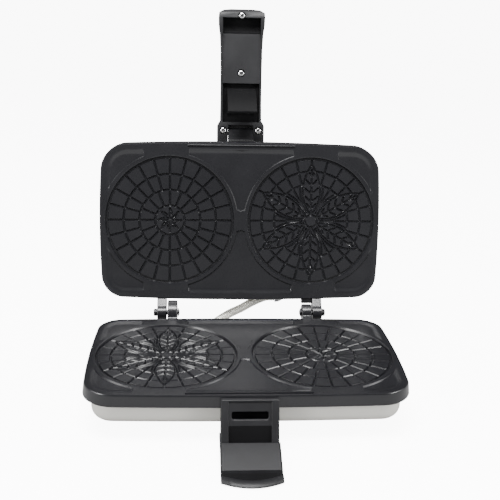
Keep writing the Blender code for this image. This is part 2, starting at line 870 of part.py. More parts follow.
boolean(arm_tray, add("arm_tray_undercut", "arm", bm))
bm = start()
turned(bm, (0, ARM_Y, ARM_Z), "x", [(-24, 1.9), (24, 1.9)], 16)
for sx in (-1, 1):
    arm_turned(bm, sx * 17.6, 3.2, [(3.0, 1.7), (5.4, 1.7), (5.4, 3.8), (12.0, 3.8)], 16)
arm_turned(bm, 0, 60.0, [(-4, 1.9), (2.4, 1.9), (2.4, 3.8), (6, 3.8)], 16)
for sx in (-1, 1):
    arm_turned(bm, sx * 8.0, 27.0, [(-4, 1.6), (5, 1.6)])
arm_turned(bm, 0, 115.5, [(5.6, 1.7), (8.4, 1.7), (8.4, 3.8), (14, 3.8)], 16)
boolean(arm_tray, add("arm_tray_bores", "arm", bm))

bm = start()
loft(
    bm,
    [
        arm_section(19.4, 14.4, -6.4, -2.3, 1.2),
        arm_section(19.9, 18.0, -8.2, -2.3, 1.6),
        arm_section(19.9, 40.0, -9.0, -2.3, 2.2),
        arm_section(19.9, 84.0, -9.0, -2.3, 2.2),
        arm_section(21.2, 98.0, -8.4, -2.3, 2.0),
        arm_section(22.2, 110.0, -7.4, -2.3, 1.8),
        arm_section(20.0, 118.0, -6.0, -2.3, 1.2),
        arm_section(14.0, 120.6, -4.4, -2.3, 0.8),
    ],
)
arm_cover = add("arm_cover", "arm", bm, BLACK, 40)
bm = start()
arm_box(bm, 16.8, 18.5, 52.0, -6.4, 0)
arm_box(bm, 16.8, 68.0, 108.0, -6.0, 0)
arm_turned(bm, 0, 60.0, [(-6.5, 1.7), (0, 1.7)])
boolean(arm_cover, add("arm_cover_inside", "arm", bm))

# curved tongue, concentric with the arm's pin
bm = start()
half_t = TONGUE_T / 2
outer_arc, inner_arc = [], []
for k in range(13):
    t = math.radians(TONGUE_END * k / 12)
    outer_arc.append(((TONGUE_R + half_t) * math.cos(t), (TONGUE_R + half_t) * math.sin(t)))
    inner_arc.append(((TONGUE_R - half_t) * math.cos(t), (TONGUE_R - half_t) * math.sin(t)))
section = [(TONGUE_R + half_t, 0.5)] + outer_arc[1:-1]
tip = math.radians(TONGUE_END + 1.6)
section += [
    outer_arc[-1],
    ((TONGUE_R + 0.5) * math.cos(tip), (TONGUE_R + 0.5) * math.sin(tip)),
    ((TONGUE_R - 0.5) * math.cos(tip), (TONGUE_R - 0.5) * math.sin(tip)),
]
section += [p for p in reversed(inner_arc) if p[1] > 2.9] + [(41.2, 2.7), (20.0, 2.7), (20.0, 0.5)]
loft(bm, [[arm_point(x, sv, nv) for sv, nv in section] for x in (-TONGUE_W, TONGUE_W)])
tongue = add("latch_tongue", "arm", bm, BLACK, 30)
bm = start()
for sx in (-1, 1):
    arm_turned(bm, sx * 8.0, 27.0, [(0, 1.6), (4, 1.6)])
boolean(tongue, add("latch_tongue_holes", "arm", bm))

bm = start()
turned(bm, (0, ARM_Y, ARM_Z), "x", [(-23.1, 1.2), (-22.7, 1.6), (22.7, 1.6), (23.1, 1.2)], 14)
add("arm_pin", "arm", bm, STEEL)
for side, sx in (("left", -1), ("right", 1)):
    bm = start()
    arm_turned(bm, sx * 17.6, 3.2, [(3.4, 1.3), (5.7, 1.3), (5.7, 3.0), (6.6, 2.9), (7.4, 1.9), (7.7, 0.7)], 16)
    add("ear_screw_" + side, "arm", bm, STEEL)
    bm = start()
    arm_turned(bm, sx * 8.0, 27.0, [(-2.2, 1.2), (3.0, 1.2), (3.0, 2.6), (4.2, 2.4), (4.7, 1.2)], 12)
    add("tongue_screw_" + side, "arm", bm, STEEL)
bm = start()
arm_turned(bm, 0, 60.0, [(-6.0, 1.4), (2.7, 1.4), (2.7, 3.1), (3.6, 3.0), (4.4, 1.9), (4.7, 0.7)], 16)
add("floor_screw", "arm", bm, STEEL)
bm = start()
arm_turned(bm, 0, 115.5, [(6.0, 1.4), (8.7, 1.4), (8.7, 3.0), (9.6, 2.9), (10.3, 1.9), (10.6, 0.7)], 16)
add("tip_screw", "arm", bm, STEEL)
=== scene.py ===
import json
import math

import bmesh
import bpy
import numpy as np
from mathutils import Matrix, Vector
from mathutils.geometry import delaunay_2d_cdt


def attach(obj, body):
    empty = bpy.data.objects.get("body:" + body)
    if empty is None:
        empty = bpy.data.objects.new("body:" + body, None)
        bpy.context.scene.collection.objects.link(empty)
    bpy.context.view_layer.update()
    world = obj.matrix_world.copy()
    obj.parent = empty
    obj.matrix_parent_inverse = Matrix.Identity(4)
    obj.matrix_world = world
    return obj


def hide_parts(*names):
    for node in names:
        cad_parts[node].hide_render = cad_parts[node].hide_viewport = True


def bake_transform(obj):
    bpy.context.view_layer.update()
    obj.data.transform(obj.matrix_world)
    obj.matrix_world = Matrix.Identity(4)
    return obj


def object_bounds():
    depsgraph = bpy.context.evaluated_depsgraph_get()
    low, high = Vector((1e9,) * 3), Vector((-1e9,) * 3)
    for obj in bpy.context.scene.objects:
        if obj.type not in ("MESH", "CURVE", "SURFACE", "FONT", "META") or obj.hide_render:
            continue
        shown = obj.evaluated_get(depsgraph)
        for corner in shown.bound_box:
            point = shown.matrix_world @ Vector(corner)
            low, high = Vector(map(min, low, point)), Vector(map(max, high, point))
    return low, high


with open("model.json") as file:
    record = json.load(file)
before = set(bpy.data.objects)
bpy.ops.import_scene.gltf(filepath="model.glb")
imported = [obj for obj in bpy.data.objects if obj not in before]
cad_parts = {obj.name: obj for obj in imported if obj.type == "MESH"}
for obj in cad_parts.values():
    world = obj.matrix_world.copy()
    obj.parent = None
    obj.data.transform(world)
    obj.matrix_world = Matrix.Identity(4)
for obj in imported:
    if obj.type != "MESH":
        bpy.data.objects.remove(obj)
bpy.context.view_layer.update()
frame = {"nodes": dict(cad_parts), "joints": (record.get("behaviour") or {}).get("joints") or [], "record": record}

# ------------------------------------------------------------------ places
# Shapes are drawn in millimetres with the iron closed: X right, Y to the rear
# from the disc centres, Z up from the rim of the lower plate. HOME places them.
MM = 0.001
joints = {j["name"]: j for j in frame["joints"]}
HINGE_Y, HINGE_Z = 92.2, 0.5
hinge = Vector(joints["lid_hinge"]["pos_m"])
OPEN = math.radians(joints["lid_hinge"]["range_deg"][1])
home_base = Matrix.Translation(hinge) @ Matrix.Scale(MM, 4) @ Matrix.Translation((0, -HINGE_Y, -HINGE_Z))
home_lid = (
    Matrix.Translation(hinge)
    @ Matrix.Rotation(-OPEN, 4, "X")
    @ Matrix.Scale(MM, 4)
    @ Matrix.Translation((0, -HINGE_Y, -HINGE_Z))
)
HOME = {"base": home_base, "lid": home_lid, "arm": home_lid}

# ------------------------------------------------------------------ camera
eye = home_base @ Vector((-45.02, -673.40, 329.77))
yaw, pitch, roll = 0.0699, 0.3301, 0.0282
ahead = Vector((math.sin(yaw) * math.cos(pitch), math.cos(yaw) * math.cos(pitch), -math.sin(pitch)))
right = Vector((math.cos(yaw), -math.sin(yaw), 0))
up = right.cross(ahead)
right_r = right * math.cos(roll) + up * math.sin(roll)
up_r = up * math.cos(roll) - right * math.sin(roll)
cam_data = bpy.data.cameras.new("camera")
cam_data.sensor_width = 36.0
cam_data.lens = 36.0 * 828.5 / 500.0
cam_data.clip_end = 20.0
camera = bpy.data.objects.new("camera", cam_data)
bpy.context.scene.collection.objects.link(camera)
turn = Matrix((right_r, up_r, -ahead)).transposed().to_4x4()
camera.matrix_world = Matrix.Translation(eye) @ turn
bpy.context.scene.camera = camera


# ------------------------------------------------------------------ materials
class Nodes:
    """Small helper that builds a node tree."""

    def __init__(self, name):
        self.mat = bpy.data.materials.new(name)
        self.mat.use_nodes = True
        self.tree = self.mat.node_tree
        self.shader = self.tree.nodes["Principled BSDF"]
        self.out = self.tree.nodes["Material Output"]

    def make(self, kind, **values):
        node = self.tree.nodes.new(kind)
        for key, value in values.items():
            if key in node.inputs:
                node.inputs[key].default_value = value
            else:
                setattr(node, key, value)
        return node

    def link(self, a, b):
        self.tree.links.new(a, b)

    def coords(self, scale=(1, 1, 1)):
        tex = self.make("ShaderNodeTexCoord")
        mapping = self.make("ShaderNodeMapping")
        mapping.inputs["Scale"].default_value = scale
        self.link(tex.outputs["Object"], mapping.inputs["Vector"])
        return mapping.outputs["Vector"]

    def noise(self, where, scale, detail=4.0, rough=0.55, distortion=0.0):
        node = self.make("ShaderNodeTexNoise")
        node.inputs["Scale"].default_value = scale
        node.inputs["Detail"].default_value = detail
        node.inputs["Roughness"].default_value = rough
        node.inputs["Distortion"].default_value = distortion
        self.link(where, node.inputs["Vector"])
        return node.outputs["Fac"]

    def ramp(self, fac, stops):
        node = self.make("ShaderNodeValToRGB")
        ramp = node.color_ramp
        while len(ramp.elements) < len(stops):
            ramp.elements.new(0.5)
        for element, (pos, colour) in zip(ramp.elements, stops):
            element.position = pos
            element.color = (*colour, 1.0) if len(colour) == 3 else colour
        self.link(fac, node.inputs["Fac"])
        return node.outputs["Color"]

    def spread(self, fac, low, high):
        node = self.make("ShaderNodeMapRange")
        node.inputs["To Min"].default_value = low
        node.inputs["To Max"].default_value = high
        self.link(fac, node.inputs["Value"])
        return node.outputs["Result"]

    def mix(self, fac, a, b, blend="MIX"):
        node = self.make("ShaderNodeMix")
        node.data_type = "RGBA"
        node.blend_type = blend
        if isinstance(fac, float):
            node.inputs[0].default_value = fac
        else:
            self.link(fac, node.inputs[0])
        for value, socket in ((a, node.inputs[6]), (b, node.inputs[7])):
            if isinstance(value, tuple):
                socket.default_value = (*value, 1.0)
            else:
                self.link(value, socket)
        return node.outputs[2]

    def bump(self, height, strength, distance, normal=None):
        node = self.make("ShaderNodeBump")
        node.inputs["Strength"].default_value = strength
        node.inputs["Distance"].default_value = distance
        self.link(height, node.inputs["Height"])
        if normal is not None:
            self.link(normal, node.inputs["Normal"])
        return node.outputs["Normal"]


def finish_material(n, colour, rough, metal=0.0, normal=None, coat=0.0, coat_rough=0.2, specular=0.5):
    n.link(colour, n.shader.inputs["Base Color"])
    n.link(rough, n.shader.inputs["Roughness"])
    n.shader.inputs["Metallic"].default_value = metal
    n.shader.inputs["Specular IOR Level"].default_value = specular
    if coat:
        n.shader.inputs["Coat Weight"].default_value = coat
        n.shader.inputs["Coat Roughness"].default_value = coat_rough
    if normal is not None:
        n.link(normal, n.shader.inputs["Normal"])
    return n.mat


def nonstick_material():
    n = Nodes("cast_nonstick")
    where = n.coords()
    cloud = n.noise(where, 28.0, 3.0)
    grain = n.noise(where, 2600.0, 2.0, 0.6)
    speck = n.noise(where, 900.0, 4.0, 0.7)
    colour = n.ramp(cloud, ((0.30, (0.0055, 0.0055, 0.0066)), (0.70, (0.0085, 0.0085, 0.0100))))
    colour = n.mix(n.spread(speck, 0.0, 0.35), colour, (0.0125, 0.0125, 0.0145))
    rough = n.spread(speck, 0.24, 0.34)
    normal = n.bump(grain, 0.16, 0.0002)
    return finish_material(n, colour, rough, 0.0, normal, coat=0.22, coat_rough=0.22, specular=0.45)


def plastic_material(name="moulded_black", tint=(0.0065, 0.0065, 0.0074), gloss=(0.42, 0.54), specular=0.30):
    n = Nodes(name)
    where = n.coords()
    cells = n.make("ShaderNodeTexVoronoi")
    cells.inputs["Scale"].default_value = 1500.0
    n.link(where, cells.inputs["Vector"])
    cloud = n.noise(where, 40.0, 3.0)
    fine = n.noise(where, 3500.0, 2.0)
    light = tuple(min(1.0, c * 1.5) for c in tint)
    colour = n.ramp(cloud, ((0.3, tint), (0.75, light)))
    rough = n.spread(cloud, *gloss)
    normal = n.bump(cells.outputs["Distance"], 0.12, 0.0002)
    normal = n.bump(fine, 0.08, 0.0001, normal)
    return finish_material(n, colour, rough, 0.0, normal, specular=specular)


def shell_material():
    n = Nodes("silver_shell_paint")
    where = n.coords()
    flake = n.noise(where, 4200.0, 2.0, 0.7)
    cloud = n.noise(where, 12.0, 3.0)
    colour = n.ramp(cloud, ((0.3, (0.74, 0.725, 0.67)), (0.7, (0.79, 0.775, 0.72))))
    colour = n.mix(n.spread(flake, 0.0, 0.30), colour, (0.88, 0.87, 0.82))
    rough = n.spread(flake, 0.40, 0.54)
    normal = n.bump(flake, 0.05, 0.0001)
    return finish_material(n, colour, rough, 0.25, normal, coat=0.15, coat_rough=0.25, specular=0.4)


def steel_material(name="plated_steel", tint=(0.66, 0.66, 0.67), gloss=(0.16, 0.34)):
    n = Nodes(name)
    where = n.coords((1, 1, 9))
    lines = n.noise(where, 700.0, 3.0)
    cloud = n.noise(where, 60.0, 3.0)
    dark = tuple(c * 0.78 for c in tint)
    colour = n.ramp(cloud, ((0.3, dark), (0.7, tint)))
    rough = n.spread(lines, *gloss)
    normal = n.bump(lines, 0.06, 0.0001)
    return finish_material(n, colour, rough, 1.0, normal)


def rubber_material():
    n = Nodes("foot_rubber")
    where = n.coords()
    cloud = n.noise(where, 90.0, 5.0)
    fine = n.noise(where, 2200.0, 3.0)
    colour = n.ramp(cloud, ((0.3, (0.014, 0.014, 0.014)), (0.8, (0.035, 0.034, 0.032))))
    rough = n.spread(fine, 0.62, 0.86)
    normal = n.bump(fine, 0.25, 0.0003)
    return finish_material(n, colour, rough, 0.0, normal, specular=0.3)


def conduit_material():
    n = Nodes("ribbed_conduit")
    where = n.coords()
    cloud = n.noise(where, 160.0, 4.0)
    fine = n.noise(where, 1800.0, 3.0)
    edge = n.make("ShaderNodeNewGeometry").outputs["Pointiness"]
    low = n.ramp(edge, ((0.44, (0.22, 0.21, 0.18)), (0.53, (0.86, 0.845, 0.78))))
    colour = n.mix(n.spread(cloud, 0.0, 0.35), low, (0.66, 0.65, 0.58))
    rough = n.spread(fine, 0.28, 0.46)
    normal = n.bump(fine, 0.06, 0.0001)
    return finish_material(n, colour, rough, 0.45, normal)


def heater_material():
    n = Nodes("heater_sheath")
    where = n.coords()
    cloud = n.noise(where, 70.0, 5.0)
    fine = n.noise(where, 1500.0, 3.0)
    colour = n.ramp(cloud, ((0.3, (0.10, 0.085, 0.075)), (0.6, (0.24, 0.21, 0.19)), (0.8, (0.22, 0.19, 0.24))))
    rough = n.spread(fine, 0.45, 0.7)
    return finish_material(n, colour, rough, 0.8, n.bump(fine, 0.2, 0.0002))


def resin_material():
    n = Nodes("heat_resin")
    where = n.coords()
    cloud = n.noise(where, 110.0, 4.0)
    fine = n.noise(where, 2000.0, 3.0)
    colour = n.ramp(cloud, ((0.3, (0.60, 0.54, 0.42)), (0.7, (0.72, 0.67, 0.55))))
    rough = n.spread(fine, 0.5, 0.7)
    return finish_material(n, colour, rough, 0.0, n.bump(fine, 0.15, 0.0002))


def lens_material(name, tint):
    n = Nodes(name)
    where = n.coords()
    rings = n.noise(where, 700.0, 2.0)
    colour = n.mix(n.spread(rings, 0.0, 0.4), tint, tuple(min(1.0, c * 1.6 + 0.02) for c in tint))
    rough = n.spread(rings, 0.10, 0.22)
    n.shader.inputs["Transmission Weight"].default_value = 0.35
    return finish_material(n, colour, rough, 0.0, n.bump(rings, 0.1, 0.0002), coat=0.6, coat_rough=0.08)


NONSTICK = nonstick_material()
PLASTIC = plastic_material()
SHELL = shell_material()
STEEL = steel_material()
SCREW = steel_material("bright_screw", (0.80, 0.80, 0.81), (0.12, 0.26))
DARK_STEEL = steel_material("blackened_steel", (0.045, 0.045, 0.047), (0.32, 0.48))
# Darker, rougher copy of the black plastic: painted shade, laid on recesses and on faces that would otherwise catch the
# top light.
PAINTED_SHADE_BLACK = plastic_material("black_plastic_painted_shade", (0.0016, 0.0016, 0.0019), (0.60, 0.72), 0.10)
ALU = steel_material("rolled_aluminium", (0.74, 0.74, 0.75), (0.28, 0.45))
RUBBER = rubber_material()
CONDUIT = conduit_material()
HEATER = heater_material()
RESIN = resin_material()
RED = lens_material("lens_red", (0.55, 0.02, 0.015))
GREEN = lens_material("lens_green", (0.02, 0.38, 0.06))

CARRIED = {
    "nonstick": NONSTICK,
    "silver_shell": SHELL,
    "black_plastic": PLASTIC,
    "steel": STEEL,
    "dark_steel": DARK_STEEL,
    "reflector": ALU,
    "heater": HEATER,
    "rubber": RUBBER,
    "conduit": CONDUIT,
    "lens_red": RED,
    "lens_green": GREEN,
    "heat_resin": RESIN,
}
for row in frame["record"]["subparts"]:
    node = frame["nodes"][row["node"]]
    node.data.materials.clear()
    node.data.materials.append(CARRIED[row["material_slot"]])


# ------------------------------------------------------------------ shape helpers
HALF_W, HALF_D, CORNER_R, FRONT_R = 136.8, 76.0, 21.0, 25.0
BOW_X, BOW_Y = 3.2, 3.4
REAR_SHIFT = 1.2
DISC_X = 70.0


def outline(inset, z, corner=14, long_side=26, short_side=12):
    a, b = HALF_W - inset, HALF_D - inset
    rear, front = max(CORNER_R - inset, 3.0), max(FRONT_R - inset, 3.0)
    points = []
    for quarter, (sx, sy) in enumerate(((1, 1), (-1, 1), (-1, -1), (1, -1))):
        r = rear if sy > 0 else front
        cx, cy = sx * (a - r), sy * (b - r)
        for k in range(corner + 1):
            t = math.pi / 2 * (quarter + k / corner)
            points.append((cx + r * math.cos(t), cy + r * math.sin(t)))
        steps = long_side if quarter in (0, 2) else short_side
        x0, y0 = points[-1]
        x1, y1 = ((-(a - rear), b), (-a, -(b - front)), (a - front, -b), (a, b - rear))[quarter]
        for k in range(1, steps):
            f = k / steps
            points.append((x0 + (x1 - x0) * f, y0 + (y1 - y0) * f))
    return [
        (
            x + BOW_X * (1 - (y / HALF_D) ** 2) * (x / HALF_W),
            y + BOW_Y * (1 - (x / HALF_W) ** 2) * (y / HALF_D) + REAR_SHIFT,
            z,
        )
        for x, y in points
    ]


def edge_y(x, inset):
    return (HALF_D - inset) * (1 + BOW_Y * (1 - (x / HALF_W) ** 2) / HALF_D)


def edge_x(y, inset):
    return (HALF_W - inset) * (1 + BOW_X * (1 - (y / HALF_D) ** 2) / HALF_W)


def loft(bm, loops, ring=False, cap=True):
    rows = [[bm.verts.new(p) for p in loop] for loop in loops]
    pairs = list(zip(rows, rows[1:]))
    if ring:
        pairs.append((rows[-1], rows[0]))
    for low, high in pairs:
        n = len(low)
        for i in range(n):
            j = (i + 1) % n
            bm.faces.new((low[i], low[j], high[j], high[i]))
    if not ring and cap:
        bm.faces.new(rows[0][::-1])
        bm.faces.new(rows[-1])
    return rows


def circle(centre, r, n, axis="z"):
    cx, cy, cz = centre
    points = []
    for k in range(n):
        t = 2 * math.pi * k / n
        u, v = r * math.cos(t), r * math.sin(t)
        if axis == "z":
            points.append((cx + u, cy + v, cz))
        elif axis == "x":
            points.append((cx, cy + u, cz + v))
        else:
            points.append((cx + v, cy, cz + u))
    return points


def turned(bm, centre, axis, profile, n=32, ring=False):
    cx, cy, cz = centre
    loops = []
    for along, r in profile:
        at = {"x": (cx + along, cy, cz), "y": (cx, cy + along, cz), "z": (cx, cy, cz + along)}[axis]
        loops.append(circle(at, r, n, axis))
    loft(bm, loops, ring)


def prism_x(bm, profile, x0, x1):
    loft(bm, [[(x, y, z) for y, z in profile] for x in (x0, x1)])


def prism_z(bm, profile, z0, z1):
    loft(bm, [[(x, y, z) for x, y in profile] for z in (z0, z1)])


def block(bm, x0, x1, y0, y1, z0, z1):
    prism_z(bm, [(x0, y0), (x1, y0), (x1, y1), (x0, y1)], z0, z1)


def place(name, body, bm, mat=None, sharp=35.0, fix=True):
    """Turn a mesh drawn in closed millimetres into an object at rest, riding on its body."""
    if fix:
        bmesh.ops.recalc_face_normals(bm, faces=bm.faces)
    bmesh.ops.transform(bm, matrix=HOME[body], verts=bm.verts)
    mesh = bpy.data.meshes.new(name)
    bm.to_mesh(mesh)
    bm.free()
    obj = bpy.data.objects.new(name, mesh)
    bpy.context.scene.collection.objects.link(obj)
    mesh.shade_smooth()
    mesh.set_sharp_from_angle(angle=math.radians(sharp))
    if mat is not None:
        mesh.materials.append(mat)
    return obj


def apply(obj):
    """Replace the object's mesh by its evaluated form."""
    bpy.context.view_layer.update()
    graph = bpy.context.evaluated_depsgraph_get()
    made = bpy.data.meshes.new_from_object(obj.evaluated_get(graph))
    obj.modifiers.clear()
    old = obj.data
    obj.data = made
    bpy.data.meshes.remove(old)
    return obj


def cut(obj, tool, operation="DIFFERENCE"):
    modifier = obj.modifiers.new("cut", "BOOLEAN")
    modifier.operation = operation
    modifier.object = tool
    modifier.solver = "EXACT"
    apply(obj)
    bpy.data.objects.remove(tool, do_unlink=True)
    return obj


def soften(obj, width, segments=2, angle=30.0, sharp=35.0):
    """Clean flat faces, then round the edges and shade with weighted normals."""
    bm = bmesh.new()
    bm.from_mesh(obj.data)
    bmesh.ops.remove_doubles(bm, verts=bm.verts, dist=2e-6)
    bmesh.ops.dissolve_limit(
        bm, angle_limit=math.radians(0.6), verts=bm.verts, edges=bm.edges, use_dissolve_boundaries=False
    )
    bm.to_mesh(obj.data)
    bm.free()
    modifier = obj.modifiers.new("bevel", "BEVEL")
    modifier.width = width * MM
    modifier.segments = segments
    modifier.limit_method = "ANGLE"
    modifier.angle_limit = math.radians(angle)
    modifier.harden_normals = False
    modifier.use_clamp_overlap = True
    apply(obj)
    return even_shading(obj, sharp)


def even_shading(obj, sharp):
    """Smooth shading whose normals follow the large faces."""
    obj.data.shade_smooth()
    obj.data.set_sharp_from_angle(angle=math.radians(sharp))
    modifier = obj.modifiers.new("normals", "WEIGHTED_NORMAL")
    modifier.mode = "FACE_AREA"
    modifier.weight = 60
    modifier.keep_sharp = True
    return apply(obj)


# ------------------------------------------------------------------ patterned plates
GROOVE = ((1.30, 0.0), (1.10, -0.16), (0.34, -1.0))
GROOVE_DEEP = 1.9


def polar(c, r, t):
    return (c[0] + r * math.cos(t), c[1] + r * math.sin(t))


def straight(c, t, r0, r1, n=2):
    return [polar(c, r0 + (r1 - r0) * k / n, t) for k in range(n + 1)]


def offset_line(line, side):
    """Parallel of an open line, as points."""
    pts = np.array(line)
    step = np.gradient(pts, axis=0)
    step /= np.linalg.norm(step, axis=1)[:, None]
    return pts + side * np.stack([-step[:, 1], step[:, 0]], axis=1)


def band(line, w, cap=5):
    """Closed loop round an open line at distance w."""
    left = offset_line(line, w)
    right_side = offset_line(line, -w)
    pts = np.array(line)
    out = [tuple(p) for p in left]
    end, d = pts[-1], pts[-1] - pts[-2]
    t0 = math.atan2(d[1], d[0])
    for k in range(1, cap):
        t = t0 + math.pi / 2 - math.pi * k / cap
        out.append((end[0] + w * math.cos(t), end[1] + w * math.sin(t)))
    out += [tuple(p) for p in right_side[::-1]]
    first, d = pts[0], pts[0] - pts[1]
    t0 = math.atan2(d[1], d[0])
    for k in range(1, cap):
        t = t0 + math.pi / 2 - math.pi * k / cap
        out.append((first[0] + w * math.cos(t), first[1] + w * math.sin(t)))
    return out


def grid_disc(c):
    """Rings and lines of the ringed disc: (open lines, ring radii)."""
    lines = []
    for r0, r1, count in ((14.5, 30.0, 16), (30.0, 45.5, 24), (45.5, 60.3, 24)):
        for k in range(count):
            lines.append(straight(c, math.pi / 2 + 2 * math.pi * k / count, r0, r1))
    for k in range(8):
        t = math.pi / 2 + 2 * math.pi * k / 8
        lines.append([polar(c, 1.2, t), polar(c, 6.0, t), polar(c, 11.6, t)])
        lines.append([polar(c, 11.6, t), polar(c, 8.4, t + 0.22), polar(c, 5.4, t + math.pi / 8)])
    return lines, [14.5, 30.0, 45.5]


def petal_half(r, first=6.0, last=55.5, wide=8.7):
    u = (r - first) / (last - first)
    if u <= 0 or u >= 1:
        return 0.0
    return wide * math.sin(math.pi * u**0.94) ** 0.82


PETALS = [math.radians(a) for a in (90, 30, -30, -90, -150, 150)]


def in_petal(c, p, grow=0.0):
    dx, dy = p[0] - c[0], p[1] - c[1]
    for t in PETALS:
        along = dx * math.cos(t) + dy * math.sin(t)
        off = abs(-dx * math.sin(t) + dy * math.cos(t))
        if 6.0 < along < 55.5 and off < petal_half(along) + grow:
            return True
    return False


def outside_petals(c, line):
    """Pieces of a densely sampled line that lie outside the petals."""
    runs, run = [], []
    for p in line:
        if in_petal(c, p, 0.1):
            if len(run) > 3:
                runs.append(run)
            run = []
        else:
            run.append(p)
    if len(run) > 3:
        runs.append(run)
    return runs


def thin(line, keep):
    step = max(1, (len(line) - 1) // keep)
    out = line[:-1:step] + [line[-1]]
    return out


def flower_disc(c):
    lines = []
    for t in PETALS:
        ax, ay = math.cos(t), math.sin(t)
        for side in (-1, 1):
            edge = []
            for k in range(19):
                r = 6.0 + 49.5 * k / 18
                w = side * petal_half(r)
                edge.append((c[0] + r * ax - w * ay, c[1] + r * ay + w * ax))
            lines.append(edge)
        lines.append(straight(c, t, 7.0, 51.0, 4))
        for r in (12.5, 20.0, 28.0, 36.0, 43.5):
            for side in (-1, 1):
                reach = 4.6
                w = side * (petal_half(r + reach) - 2.0)
                if abs(w) < 1.4:
                    continue
                lines.append(
                    [
                        polar(c, r, t),
                        (
                            c[0] + (r + 0.42 * reach) * ax - 0.55 * w * ay,
                            c[1] + (r + 0.42 * reach) * ay + 0.55 * w * ax,
                        ),
                        (c[0] + (r + reach) * ax - w * ay, c[1] + (r + reach) * ay + w * ax),
                    ]
                )
    for k in range(24):
        t = math.pi * k / 12
        if k % 4 == 0:
            lines.append(straight(c, t, 9.0, 60.3, 6))
            for side in (-1, 1):
                curve = []
                for i in range(10):
                    r = 12.0 + 24.5 * i / 9
                    curve.append(polar(c, r, t + side * math.radians(1.5 + 10.5 * (i / 9) ** 1.6)))
                for run in outside_petals(c, curve):
                    lines.append(run)
        else:
            line = straight(c, t, 36.8, 60.3, 60)
            for run in outside_petals(c, line):
                lines.append(thin(run, 4))
    for r in (36.8, 49.4):
        ring = [polar(c, r, 2 * math.pi * k / 720 + math.radians(30)) for k in range(721)]
        for run in outside_petals(c, ring):
            lines.append(thin(run, max(3, len(run) // 12)))
    return lines, [6.0]


def corner_pocket(sx, sy, grow=0.0):
    y_end, x_end, rim = 26.0 - grow, 96.0 - grow, 4.4 - grow
    land = 67.3 - grow
    edge = [(x, sy * (y - REAR_SHIFT)) for x, y, _ in outline(rim, 0)]
    rimmed = [(x, y) for x, y in edge if x > x_end + 1.5 and y > y_end + 1.5]
    rimmed.sort(key=lambda p: math.atan2(p[1], p[0] - DISC_X))
    points = [(edge_x(y_end, rim), y_end)] + rimmed + [(x_end, edge_y(x_end, rim))]
    t0 = math.acos((x_end - DISC_X) / land)
    t1 = math.asin(y_end / land)
    for k in range(19):
        t = t0 + (t1 - t0) * k / 18
        points.append((DISC_X + land * math.cos(t), land * math.sin(t)))
    return [(sx * x, sy * y) for x, y in points]


def middle_pocket(sy, grow=0.0):
    r = 66.8 - grow
    y_near, x_far = 11.0 - grow, 52.0 + grow
    y_far = (70.0 if sy < 0 else 74.0) + grow
    t0 = math.asin(y_near / r)
    t1 = math.acos((DISC_X - x_far) / r)
    side = []
    for k in range(17):
        t = t0 + (t1 - t0) * k / 16
        side.append((DISC_X - r * math.cos(t), r * math.sin(t)))
    right_side = side + [(x_far - 1.5, y_far)]
    left = [(-x, y) for x, y in reversed(right_side)]
    return [(x, sy * y) for x, y in [(0.0, 9.4 - grow)] + right_side + left]


def inside_polygon(pts, poly):
    """Even-odd test for many points."""
    x, y = pts[:, 0], pts[:, 1]
    hit = np.zeros(len(pts), bool)
    n = len(poly)
    for i in range(n):
        x0, y0 = poly[i]
        x1, y1 = poly[(i + 1) % n]
        crosses = (y0 > y) != (y1 > y)
        if y1 != y0:
            hit ^= crosses & (x < (x1 - x0) * (y - y0) / (y1 - y0) + x0)
    return hit


def to_segments(pts, a, b):
    """Shortest distance from each point to any of the segments."""
    best = np.full(len(pts), 1e9)
    ab = b - a
    den = np.maximum((ab**2).sum(1), 1e-12)
    for i in range(len(a)):
        ap = pts - a[i]
        t = np.clip((ap @ ab[i]) / den[i], 0, 1)
        d = np.hypot(ap[:, 0] - t * ab[i, 0], ap[:, 1] - t * ab[i, 1])
        np.minimum(best, d, out=best)
    return best


DISC_PROFILE = ((60.3, -0.9), (60.9, -2.5), (62.5, -2.5), (63.4, -0.15), (63.9, 0.0))
CELL_TOP = -0.9
POCKET_DEEP = 1.2
WALL = 0.9


